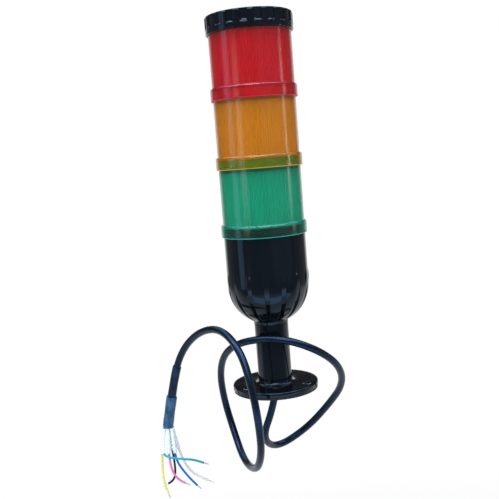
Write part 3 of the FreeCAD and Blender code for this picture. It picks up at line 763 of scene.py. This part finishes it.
def frost_ribs(piece, low):
    """Gives the ribbed wall, the rim above it, the spigot and the collar's foot the second material."""
    seat = low + LENS["seat"]
    rim = low + LENS["pitch"] - LENS["rim"]
    for face in piece.data.polygons:
        radius, _, height = polar(face.center)
        on_wall = abs(radius - LENS["root"] + FROST["middle"]) < FROST["band"]
        ribs = on_wall and seat + FROST["ends"] < height < rim - FROST["ends"]
        under_rim = radius < LENS["root"] and abs(height - rim) < FROST["rim"]
        spigot = height > low + LENS["pitch"] + NEAR
        collar_foot = radius > LENS["collar_bore"] + FROST["foot_bore"] and height < low + FROST["foot"]
        if ribs or under_rim or spigot or collar_foot:
            face.material_index = 1


def build_lens(tier):
    """Turns a lens, shapes its spigot, lugs and ribs, and gives it a clear and a ribbed side."""
    low = foot("lens_" + tier)
    lens = turn(f"lens_{tier}_moulding", lens_rings(low), LENS["segments"], FRONT)
    cut_spigot(lens, low + LENS["pitch"])
    press_lugs(lens, low)
    soften(lens, share=0.6, angle=60, segments=1)
    rib_wall(lens, low)
    smooth(lens, 35)
    dress(lens, tier + "_module", "lens_" + tier, ["lens_" + tier], clear_lens(tier), ribbed_lens(tier))
    frost_ribs(lens, low)


# ---- cap --------------------------------------------------------------------------------------------
CAP = {"height": 12.4, "edge": 1.6, "edge_steps": (3, 5), "dome_steps": 8, "dome_start": 89.8,
       "centre": 0.5, "floor": 3.6, "corner": 1.2, "corner_step": 0.17, "corner_clear": 0.3,
       "ramp_start": 0.15, "ramp": 4.0, "chamfer": 0.3, "drop": 2.1, "roof": 2.2, "skirt": 28.8,
       "first": -96.3, "cells": 16, "half_cells": 4.5}


def cap_rings():
    """The cap's section: dome, rounded edge and grip wall outside; skirt, collar bore and roof inside."""
    low, dome_top = foot("top_cap"), head("top_cap")
    radius = across("top_cap")
    edge = low + CAP["height"]
    crown = radius - CAP["edge"]
    rise = dome_top - edge
    ball = (crown ** 2 + rise ** 2) / (2 * rise)
    ends = math.degrees(math.asin(crown / ball))
    grip = radius - sizes().grip_depth * 1000
    reach = math.degrees(math.acos((grip - crown) / CAP["edge"]))
    rings = arc((0, dome_top - ball), ball, CAP["dome_start"], 90 - ends, CAP["dome_steps"])
    for start, end, steps in zip((90, reach), (reach, 0), CAP["edge_steps"]):
        rings += arc((crown, edge - CAP["edge"]), CAP["edge"], start, end, steps)[1:]
    floor = low + CAP["floor"]
    corner = floor + CAP["corner"] + CAP["corner_clear"]
    chamfer = low + CAP["chamfer"]
    rings += [(radius, height) for height in (edge - CAP["edge"] - HOLD, corner + HOLD, corner, floor,
                                              floor - HOLD, chamfer + HOLD, chamfer)]
    collar_foot = low + CAP["drop"]
    rings += [(radius - CAP["chamfer"], low), (CAP["skirt"], low), (CAP["skirt"], collar_foot)]
    rings += [(LENS["collar_bore"], collar_foot + up)
              for up in (0, LUG["low"], LUG["high"], LENS["seat"])]
    roof = edge - CAP["roof"]
    rings += [(SPIGOT["bore"], collar_foot + LENS["seat"]), (SPIGOT["bore"], roof), (CAP["centre"], roof)]
    return rings, grip


def round_grip_corners(cap, floor, radius, pitch, cell):
    """Lifts the ends of each grip's foot line, so that its lower corners come out round."""
    edit(cap)
    for column, lift in ((CAP["half_cells"], CAP["corner"]), (CAP["half_cells"] - 1, CAP["corner_step"])):
        bpy.ops.mesh.select_all(action="DESELECT")
        pick("verts", lambda r, a, z: abs(r - radius) < NEAR and abs(z - floor) < NEAR
             and abs(abs(off_centre(a, CAP["first"], pitch)) - column * cell) < cell / 4)
        bpy.ops.transform.translate(value=(0, 0, mm(lift)))
    done()


def build_cap():
    """Turns the cap, and presses in its grip pockets with their sloping feet, and its lugs."""
    radius = across("top_cap")
    floor = foot("top_cap") + CAP["floor"]
    pitch = 360 / sizes().grips
    cell = pitch / CAP["cells"]
    rings, grip = cap_rings()
    segments = sizes().grips * CAP["cells"]
    cap = turn("top_cap_moulding", rings, segments, CAP["first"] + cell / 2, hollow=False)
    round_grip_corners(cap, floor, radius, pitch, cell)

    def in_grip(r, angle, height):
        in_column = abs(off_centre(angle, CAP["first"], pitch)) < CAP["half_cells"] * cell
        return in_column and r > grip + NEAR and height > floor + CAP["corner_clear"]

    def grip_wall(height):
        return max(grip, radius - CAP["ramp_start"] - CAP["ramp"] * (height - floor))

    press(cap, in_grip, grip_wall)
    press_lugs(cap, foot("top_cap") + CAP["drop"])
    soften(cap, share=1.75)
    dress(cap, "cap", "black_plastic", ["top_cap"], black_abs())


# ---- cable and leads --------------------------------------------------------------------------------
# Lengths and places from here to the end of the leads are in metres.
CABLE_DIAMETER = 0.0052
# Corners of the cable's route, from its exit under the flange to the end of its sheath.
CABLE_ROUTE = [
    (0, 0, 0), (-0.003, -0.001, -0.014), (-0.013, 0.001, -0.038), (-0.003, 0.02, -0.053),
    (0.021, 0.028, -0.042), (0.038, 0.022, -0.023), (0.049, 0.009, -0.004), (0.046, -0.007, 0.015),
    (0.03, -0.02, 0.031), (0.006, -0.022, 0.041), (-0.018, -0.012, 0.039), (-0.034, 0.004, 0.029),
    (-0.041, 0.02, 0.01), (-0.04, 0.028, -0.015), (-0.034, 0.022, -0.039), (-0.027, 0.002, -0.055),
    (-0.018, -0.023, -0.052), (-0.013, -0.041, -0.034), (-0.013, -0.049, -0.01), (-0.016, -0.047, 0.016),
    (-0.022, -0.036, 0.038), (-0.035, -0.017, 0.05), (-0.052, 0.001, 0.045), (-0.067, 0.015, 0.029),
    (-0.076, 0.022, 0.006), (-0.084, 0.025, -0.032),
]
LEAD_DIAMETER = 0.0017
# Colour, length of the insulation and route of each lead, from the end of the wide sleeve.
LEADS = {
    "teal": ("#12A4AE", 0.0529, [
        (-0.0868, 0.0236, -0.032), (-0.0885, 0.0225, -0.042), (-0.0895, 0.02, -0.0515),
        (-0.083, 0.017, -0.054), (-0.073, 0.016, -0.055), (-0.065, 0.018, -0.057),
        (-0.059, 0.021, -0.061)]),
    "pink": ("#F07FC0", 0.0499, [
        (-0.084, 0.0236, -0.032), (-0.0845, 0.022, -0.042), (-0.0845, 0.0205, -0.054),
        (-0.084, 0.021, -0.062), (-0.0825, 0.0225, -0.069), (-0.079, 0.0245, -0.075),
        (-0.075, 0.026, -0.078)]),
    "blue": ("#1C74CC", 0.0534, [
        (-0.0812, 0.0236, -0.032), (-0.0805, 0.022, -0.042), (-0.08, 0.0215, -0.054),
        (-0.0785, 0.023, -0.061), (-0.075, 0.0245, -0.068), (-0.0705, 0.0255, -0.075),
        (-0.066, 0.027, -0.081)]),
    "yellow": ("#F7EE7C", 0.0552, [
        (-0.0868, 0.0264, -0.032), (-0.0895, 0.028, -0.044), (-0.0915, 0.0295, -0.058),
        (-0.092, 0.03, -0.068), (-0.092, 0.03, -0.076), (-0.0905, 0.029, -0.082),
        (-0.089, 0.028, -0.086)]),
    "black": ("#17181B", 0.0489, [
        (-0.084, 0.0264, -0.032), (-0.084, 0.028, -0.044), (-0.0825, 0.029, -0.056),
        (-0.082, 0.0285, -0.064), (-0.082, 0.0275, -0.071), (-0.084, 0.027, -0.076),
        (-0.088, 0.027, -0.078)]),
    "white": ("#DCE2DF", 0.0558, [
        (-0.0812, 0.0264, -0.032), (-0.08, 0.0285, -0.043), (-0.0775, 0.03, -0.054),
        (-0.075, 0.03, -0.062), (-0.0715, 0.029, -0.0685), (-0.065, 0.028, -0.074),
        (-0.057, 0.028, -0.078)]),
}
WIDE_SLEEVE = {"length": 0.0245, "outer": 0.004, "inner": 0.0027, "lip": 0.0003, "steps": 20,
               "swell": 0.00006}
THIN_SLEEVE = {"length": 0.029, "outer": 0.0032, "inner": 0.0026, "lip": 0.0003, "steps": 20,
               "swell": 0.00003}
THIN_SHOWS = 0.025                # length of the thin sleeve that comes out of the wide one
MARKER = {"start": 0.001, "length": 0.019, "outer": 0.00135, "inner": 0.00088, "lip": 0.00015,
          "steps": 12}
TIP = {"length": 0.0045, "radius": 0.00055, "end_radius": 0.0004, "ring_step": 0.0002, "rings": 22}
STRANDS = {"sides": 28, "lobes": 7, "lobe_depth": 0.22, "twist": 700}      # twist in radians per metre
LIP_CORNER = 0.3                  # how far in the middle of a sleeve's round lip lies, as a share of it
WAIST_WAVES = 3                   # half waves of a sleeve's soft swell along its length
CORD_STEPS = 16
LINE_STEPS = 24


def route_curve(name, points, diameter, roundness):
    """A smooth cord whose control points are the corners of its route."""
    curve = bpy.data.curves.new(name, "CURVE")
    curve.dimensions = "3D"
    curve.resolution_u = CORD_STEPS
    spline = curve.splines.new("NURBS")
    spline.points.add(len(points) - 1)
    for point, place in zip(spline.points, points):
        point.co = (*place, 1.0)
    spline.order_u = 3
    spline.use_endpoint_u = True
    curve.bevel_depth = diameter / 2
    curve.bevel_resolution = roundness
    curve.use_fill_caps = True
    cord = bpy.data.objects.new(name, curve)
    bpy.context.collection.objects.link(cord)
    return cord


def centre_line(cord):
    """The points along a cord's own spline, and how far along it each one is."""
    bare = cord.copy()
    bare.data = cord.data.copy()
    bare.data.bevel_depth = 0
    bare.data.resolution_u = LINE_STEPS
    bpy.context.collection.objects.link(bare)
    mesh = bpy.data.meshes.new_from_object(bare)
    points = [vertex.co.copy() for vertex in mesh.vertices]
    bpy.data.objects.remove(bare)
    bpy.data.meshes.remove(mesh)
    along = [0.0]
    for first, second in zip(points, points[1:]):
        along.append(along[-1] + (second - first).length)
    return points, along


def at_distance(points, along, distance):
    """The point and the direction at a distance along a line."""
    for number in range(1, len(points)):
        if along[number] >= distance or number == len(points) - 1:
            step = points[number] - points[number - 1]
            share = (distance - along[number - 1]) / step.length
            return points[number - 1] + step * share, step.normalized()


def loft(line, profile, sides=32, lobes=0, lobe_depth=0.0, twist=0.0):
    """A skin along a line from its profile (distance, radius); lobes and a twist make it a strand."""
    mesh = bmesh.new()
    rings = []
    side = None
    for distance, radius in profile:
        centre, ahead = at_distance(*line, distance)
        side = (side or ahead.orthogonal()).normalized()
        side = (side - ahead * side.dot(ahead)).normalized()
        other = ahead.cross(side)
        ring = []
        for number in range(sides):
            angle = 2 * math.pi * number / sides + twist * distance
            wave = 1 - lobe_depth * (1 - abs(math.cos(lobes * math.pi * number / sides)))
            outwards = side * math.cos(angle) + other * math.sin(angle)
            ring.append(mesh.verts.new(centre + outwards * radius * wave))
        rings.append(ring)
    for near, far in zip(rings, rings[1:]):
        for number in range(sides):
            mesh.faces.new((near[number - 1], near[number], far[number], far[number - 1]))
    return mesh, rings


def finish_loft(name, mesh, rings, hollow=True):
    """Closes a skin, through its bore or across its ends, and makes it a piece."""
    if hollow:
        first, last = rings[0], rings[-1]
        for number in range(len(first)):
            mesh.faces.new((last[number - 1], last[number], first[number], first[number - 1]))
    else:
        mesh.faces.new(rings[0][::-1])
        mesh.faces.new(rings[-1])
    bmesh.ops.recalc_face_normals(mesh, faces=mesh.faces)
    data = bpy.data.meshes.new(name)
    mesh.to_mesh(data)
    mesh.free()
    piece = bpy.data.objects.new(name, data)
    bpy.context.collection.objects.link(piece)
    smooth(piece, 50)
    return piece


def tube_profile(start, length, outer, inner, lip, steps, swell=0.0):
    """Profile of an open tube: round lips at both ends, and a soft waist between them."""
    corner = lip * LIP_CORNER
    profile = [(start, inner), (start, outer - lip), (start + corner, outer - corner)]
    for number in range(steps + 1):
        share = number / steps
        distance = start + lip + (length - 2 * lip) * share
        profile.append((distance, outer + swell * math.sin(share * math.pi * WAIST_WAVES)))
    end = start + length
    return profile + [(end - corner, outer - corner), (end, outer - lip), (end, inner)]


def build_cable():
    """Lays the cable from the flange, with the two shrink sleeves over its end."""
    cable = route_curve("cable_sheath", CABLE_ROUTE, CABLE_DIAMETER, 7)
    line = centre_line(cable)
    wide_start = line[1][-1] - WIDE_SLEEVE["length"]
    wide = finish_loft("wide_shrink_sleeve", *loft(line, tube_profile(wide_start, **WIDE_SLEEVE)))
    thin_start = wide_start - THIN_SHOWS
    thin = finish_loft("thin_shrink_sleeve", *loft(line, tube_profile(thin_start, **THIN_SLEEVE)))
    shrink = colours().shrink
    dress(cable, "base", "cable_sheath", ["cable"], sheath_pvc("black_sheath", colours().sheath, 0.28))
    dress(wide, "base", "shrink_sleeve", ["sleeve_wide"], shrink_tube("wide", shrink, 0.6))
    dress(thin, "base", "shrink_sleeve", ["sleeve_thin"], shrink_tube("thin", shade(shrink, 0.22), 0.3))


def build_tip(name, line):
    """Twists the tinned strands that go on straight from the end of a lead."""
    end, ahead = at_distance(*line, line[1][-1])
    onwards = ([end, end + ahead * TIP["length"]], [0.0, TIP["length"]])
    profile = [(TIP["ring_step"] * number, TIP["radius"]) for number in range(TIP["rings"])]
    profile += [(TIP["length"], TIP["end_radius"])]
    return finish_loft(name, *loft(onwards, profile, **STRANDS), hollow=False)


def build_leads():
    """Lays the six leads, each with its marker sleeve and its tinned end."""
    white = sheath_pvc("marker", colours().marker, 0.35)
    tinned = metal("copper_tinned", "#F4F5F5", 0.35, 0.4)
    for colour, (text, length, route) in LEADS.items():
        lead = route_curve("lead_insulation_" + colour, route, LEAD_DIAMETER, 4)
        line = centre_line(lead)
        marker = finish_loft("marker_" + colour, *loft(line, tube_profile(**MARKER), 20))
        tip = build_tip("tinned_end_" + colour, line)
        dress(lead, "base", "lead_" + colour, ["lead_" + colour],
              sheath_pvc("lead_" + colour, linear(text), 0.35))
        dress(marker, "base", "marker_plastic", ["marker_sleeves"], white)
        dress(tip, "base", "tinned_copper", ["tinned_ends"], tinned)


# ---- pieces that keep their CAD shape ---------------------------------------------------------------
def paint(material, *nodes):
    """Gives CAD nodes that keep their shape one material."""
    for node in nodes:
        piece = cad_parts[node]
        piece.data.materials.clear()
        piece.data.materials.append(material)


def dress_inside():
    """Gives the rubber parts, the seals and everything inside their materials."""
    paint(rubber(), "flange_gasket", "cable_grommet")
    paint(silicone(), *["seal_" + tier for tier in TIERS], "seal_cap")
    mast = plain_plastic("abs_white_mast", "#D9DAD4", 0.45)
    paint(mast, "led_mast", *["divider_" + tier for tier in TIERS])
    paint(plain_plastic("solder_mask_white", "#E6E7E3", 0.35), *["led_strips_" + tier for tier in TIERS])
    for tier, text in zip(TIERS, ("#BFE8CE", "#F3DDA5", "#F0C0BC")):
        paint(plain_plastic(f"led_lens_{tier}", text, 0.25, 1.0), "leds_" + tier)
    paint(plain_plastic("solder_mask_green", "#1E6B3F", 0.3), "control_board")
    paint(plain_plastic("nylon_locknut", "#1B1C1E", 0.4), "pole_locknut")
    paint(plain_plastic("nylon_tie", "#E2E2DA", 0.4), "cable_tie")
    paint(plain_plastic("polyamide_terminal", "#3E7F5A", 0.4), "terminal_block")
    paint(plain_plastic("abs_buzzer", "#191A1C", 0.35), "buzzer")
    paint(metal("steel_zinc_plated", "#C9CDD0", 0.3), "board_screws", "mast_screws")
    paint(sheath_pvc("cable_inside", colours().sheath, 0.35), "cable_in_pole")


# ---- stage ------------------------------------------------------------------------------------------
# Lengths and places on the stage are in metres; the camera's angles are in radians, its lens in mm.
CAMERA = {"place": (0.0, -0.54085, 0.16463), "yaw": 0.02104, "pitch": -0.11688, "roll": -0.07763,
          "lens": 55.73, "sensor": 36}
# Name, place, point that it faces, size, power in watts and colour of each lamp.
LAMPS = (
    ("overhead_strip", (-0.15, -0.3, 1.15), (-0.15, -0.3, 0), (2.2, 0.25), 15.0, "#EEF6FF"),
    ("front_bank", (-0.06, -1.05, 1.0), (0, 0, 0.12), (0.75, 0.7), 8.0, "#FFFFFF"),
    ("window_left", (-0.96, -0.27, 0.2), (0, 0, 0.12), (0.3, 1.1), 1.2, "#B8DCFF"),
    ("window_right", (0.72, -0.7, 0.3), (0, 0, 0.12), (1.2, 1.1), 0.7, "#C8E2FF"),
    ("slim_right", (0.9, -0.07, 0.22), (0, 0, 0.2), (0.08, 0.3), 0.35, "#FFF4F0"),
    ("slim_left", (-0.72, -0.69, 0.22), (0, 0, 0.2), (0.28, 0.3), 0.35, "#FFF4F0"),
    ("table_card", (-0.01, -0.21, -0.09), (-0.01, -0.21, 1), (0.7, 0.12), 0.45, "#86C0FF"),
)
# The surroundings' edges are cosines: 1 is straight behind the light, or straight up, and -1 is in front.
WALL_EDGE = (0.74, 0.85)          # where the white wall behind begins, and where it is fully white
CEILING_EDGE = (0.219, 0.236)     # where the wall and the room end below the dark ceiling
CEILING_LEVEL = 0.03
ROOM_LEVEL = 0.2                  # brightness of the room in front, where the wall behind is 1
SKY_EDGE = (0.5, 0.8)
SKY_LEVEL = 2.4                   # brightness straight above, which only mirrors show
SKY_COLOUR = "#A2CBFF"
FILL_EDGE = (-1.0, 0.3)
FILL_LEVELS = (1.0, 0.12)         # soft light on matt surfaces, from straight in front and from behind
THROUGH_LENS = 0.64               # share of that soft light which reaches the ribs inside the lenses
FLOOR = {"height": -0.1, "radius": 4.0, "tones": ("#D0D0D0", "#707070"), "tone_radii": (0.2, 0.6),
         "far_radii": (0.4, 1.2), "back": (-0.3, 0.08)}
SMOOTH = {"interpolation_type": "SMOOTHSTEP"}


def soft_box(name, place, aim, size, power, tint):
    """A soft rectangular lamp that faces a point."""
    data = bpy.data.lights.new(name, "AREA")
    data.shape = "RECTANGLE"
    data.size, data.size_y = size
    data.energy = power
    data.color = linear(tint)[:3]
    lamp = bpy.data.objects.new(name, data)
    lamp.location = place
    lamp.rotation_euler = (Vector(aim) - Vector(place)).to_track_quat("-Z", "Y").to_euler()
    bpy.context.collection.objects.link(lamp)


def seen_directly(owner, path):
    """1 for rays from the camera, mirrors and clear pieces, 0 for the rays that light things."""
    either = add(owner, "Math", {0: path["Is Camera Ray"], 1: path["Is Glossy Ray"]},
                 operation="MAXIMUM")
    return add(owner, "Math", {0: either, 1: path["Is Transmission Ray"]}, operation="MAXIMUM")


def build_world():
    """Surroundings like a studio's: a white wall behind the light, and a dimmer room in front of it."""
    world = blank(bpy.data.worlds.new("studio"))
    place = add(world, "TexCoord").outputs["Generated"]
    towards = add(world, "SeparateXYZ", {"Vector": place}).outputs
    path = add(world, "LightPath").outputs
    # What mirrors show: the wall and the room under the ceiling, with the sky over it.
    wall = add(world, "MapRange", over(towards["Y"], *WALL_EDGE), **SMOOTH)
    room = add(world, "MapRange", over(wall, 0, 1, ROOM_LEVEL, 1))
    walls = add(world, "MapRange", over(towards["Z"], *CEILING_EDGE, room, CEILING_LEVEL), **SMOOTH)
    height = add(world, "MapRange", over(towards["Z"], *SKY_EDGE), **SMOOTH)
    sky = add(world, "Math", {0: height, 1: path["Is Glossy Ray"]}, operation="MULTIPLY")
    studio = add(world, "Math", {0: sky, 1: SKY_LEVEL, 2: walls}, operation="MULTIPLY_ADD")
    # What lights matt surfaces, and what of it goes through the lenses.
    fill = add(world, "MapRange", over(towards["Y"], *FILL_EDGE, *FILL_LEVELS))
    dimmed = add(world, "Math", {0: path["Is Transmission Ray"], 1: THROUGH_LENS},
                 operation="MULTIPLY")
    through = add(world, "Math", {0: dimmed, 1: fill}, operation="MULTIPLY")
    mirrored = add(world, "Math", {0: studio, 1: through}, operation="MAXIMUM")
    shown = add(world, "Math", {0: mirrored, 1: path["Is Camera Ray"]}, operation="MAXIMUM")
    strength = add(world, "MapRange", over(seen_directly(world, path), 0, 1, fill, shown))
    colour = add(world, "Mix", {"Factor": sky, 6: linear("#FFFFFF"), 7: linear(SKY_COLOUR)},
                 data_type="RGBA")
    light = add(world, "Background", {"Color": colour, "Strength": strength})
    add(world, "OutputWorld", {"Surface": light})
    bpy.context.scene.world = world


def paper_white():
    """Matt white paper underfoot, which fades into the brightness of the wall where it is far off."""
    material = new_material("paper_white")
    place = add(material, "TexCoord").outputs["Object"]
    path = add(material, "LightPath").outputs
    flat = add(material, "VectorMath", {0: place, 1: (1, 1, 0)}, operation="MULTIPLY")
    radius = add(material, "VectorMath", {0: flat}, operation="LENGTH")
    towards = add(material, "VectorMath", {0: flat}, operation="NORMALIZE")
    depth, aside = (add(material, "SeparateXYZ", {"Vector": vector}).outputs["Y"]
                    for vector in (flat, towards))
    tones = [linear(tone)[0] for tone in FLOOR["tones"]]
    grey = add(material, "MapRange", over(radius, *FLOOR["tone_radii"], *tones), **SMOOTH)
    matt = add(material, "BsdfDiffuse", {"Color": grey})
    far = add(material, "MapRange", over(radius, *FLOOR["far_radii"]), **SMOOTH)
    back = add(material, "MapRange", over(depth, *FLOOR["back"]), **SMOOTH)
    wall = add(material, "MapRange", over(aside, *WALL_EDGE), **SMOOTH)
    white = add(material, "MapRange", over(far, 0, 1, back, wall))
    room = add(material, "MapRange", over(white, 0, 1, ROOM_LEVEL, 1))
    shown = add(material, "Math", {0: room, 1: path["Is Camera Ray"]}, operation="MAXIMUM")
    light = add(material, "Emission", {"Color": linear("#FFFFFF"), "Strength": shown})
    share = add(material, "MapRange", over(far, 0, 1, back, 1))
    factor = add(material, "Math", {0: seen_directly(material, path), 1: share},
                 operation="MULTIPLY")
    mix = add(material, "MixShader", {0: factor, 1: matt, 2: light})
    add(material, "OutputMaterial", {"Surface": mix})
    return material


def build_floor():
    """A floor wide enough that no horizon shows."""
    deselect()
    bpy.ops.mesh.primitive_circle_add(vertices=96, radius=FLOOR["radius"], fill_type="NGON",
                                      location=(0, 0, FLOOR["height"]))
    floor = bpy.context.object
    floor.name = "floor"
    floor.data.materials.append(paper_white())


def build_camera():
    """Places the camera in front of the light and a little above its middle."""
    data = bpy.data.cameras.new("camera")
    data.sensor_width = CAMERA["sensor"]
    data.lens = CAMERA["lens"]
    camera = bpy.data.objects.new("camera", data)
    turned = (Matrix.Rotation(CAMERA["yaw"], 4, "Z")
              @ Matrix.Rotation(math.pi / 2 + CAMERA["pitch"], 4, "X")
              @ Matrix.Rotation(CAMERA["roll"], 4, "Z"))
    camera.matrix_world = Matrix.Translation(CAMERA["place"]) @ turned
    bpy.context.collection.objects.link(camera)
    bpy.context.scene.camera = camera


def build_stage():
    """Sets up the surroundings, the floor, the lamps and the camera."""
    bpy.context.scene.view_settings.view_transform = "Standard"
    build_world()
    build_floor()
    for lamp in LAMPS:
        soft_box(*lamp)
    build_camera()


# ---- operators and panel ----------------------------------------------------------------------------
class BuildPole(bpy.types.Operator):
    """Model the pole and flange"""
    bl_idname = "stack_light.pole"
    bl_label = "Pole and flange"

    def execute(self, context):
        build_pole()
        return {"FINISHED"}


class BuildHousing(bpy.types.Operator):
    """Model the fluted lower housing"""
    bl_idname = "stack_light.housing"
    bl_label = "Lower housing"

    def execute(self, context):
        build_housing()
        return {"FINISHED"}


class BuildLenses(bpy.types.Operator):
    """Model the three lenses"""
    bl_idname = "stack_light.lenses"
    bl_label = "Lenses"

    def execute(self, context):
        for tier in TIERS:
            build_lens(tier)
        return {"FINISHED"}


class BuildCap(bpy.types.Operator):
    """Model the cap"""
    bl_idname = "stack_light.cap"
    bl_label = "Cap"

    def execute(self, context):
        build_cap()
        return {"FINISHED"}


class BuildCable(bpy.types.Operator):
    """Lay the cable with its shrink sleeves"""
    bl_idname = "stack_light.cable"
    bl_label = "Cable"

    def execute(self, context):
        build_cable()
        return {"FINISHED"}


class BuildLeads(bpy.types.Operator):
    """Lay the six leads with their marker sleeves and tinned ends"""
    bl_idname = "stack_light.leads"
    bl_label = "Leads"

    def execute(self, context):
        build_leads()
        return {"FINISHED"}


class DressInside(bpy.types.Operator):
    """Finish the seals and the electronics inside"""
    bl_idname = "stack_light.inside"
    bl_label = "Inside"

    def execute(self, context):
        dress_inside()
        return {"FINISHED"}


class BuildStage(bpy.types.Operator):
    """Set up the floor, lamps and camera"""
    bl_idname = "stack_light.stage"
    bl_label = "Stage"

    def execute(self, context):
        build_stage()
        return {"FINISHED"}


OPERATORS = (BuildStage, BuildCable, BuildLeads, BuildPole, BuildHousing, BuildLenses, BuildCap,
             DressInside)


class StackLightPanel(bpy.types.Panel):
    """The steps that build the stack light, with its sizes and colours"""
    bl_idname = "VIEW3D_PT_stack_light"
    bl_label = "Stack light"
    bl_space_type = "VIEW_3D"
    bl_region_type = "UI"
    bl_category = "Stack light"

    def draw(self, context):
        for group in (context.scene.stack_light_sizes, context.scene.stack_light_colours):
            for name in group.bl_rna.properties.keys():
                if name not in ("rna_type", "name"):
                    self.layout.prop(group, name)
        for operator in OPERATORS:
            self.layout.operator(operator.bl_idname)


CLASSES = (StackLightSizes, StackLightColours, *OPERATORS, StackLightPanel)


def register():
    for cls in CLASSES:
        bpy.utils.register_class(cls)
    bpy.types.Scene.stack_light_sizes = PointerProperty(type=StackLightSizes)
    bpy.types.Scene.stack_light_colours = PointerProperty(type=StackLightColours)


def unregister():
    del bpy.types.Scene.stack_light_colours
    del bpy.types.Scene.stack_light_sizes
    for cls in reversed(CLASSES):
        bpy.utils.unregister_class(cls)


def main():
    register()
    bpy.ops.stack_light.stage()
    bpy.ops.stack_light.cable()
    bpy.ops.stack_light.leads()
    bpy.ops.stack_light.pole()
    bpy.ops.stack_light.housing()
    bpy.ops.stack_light.lenses()
    bpy.ops.stack_light.cap()
    bpy.ops.stack_light.inside()


if __name__ == "__main__":
    main()
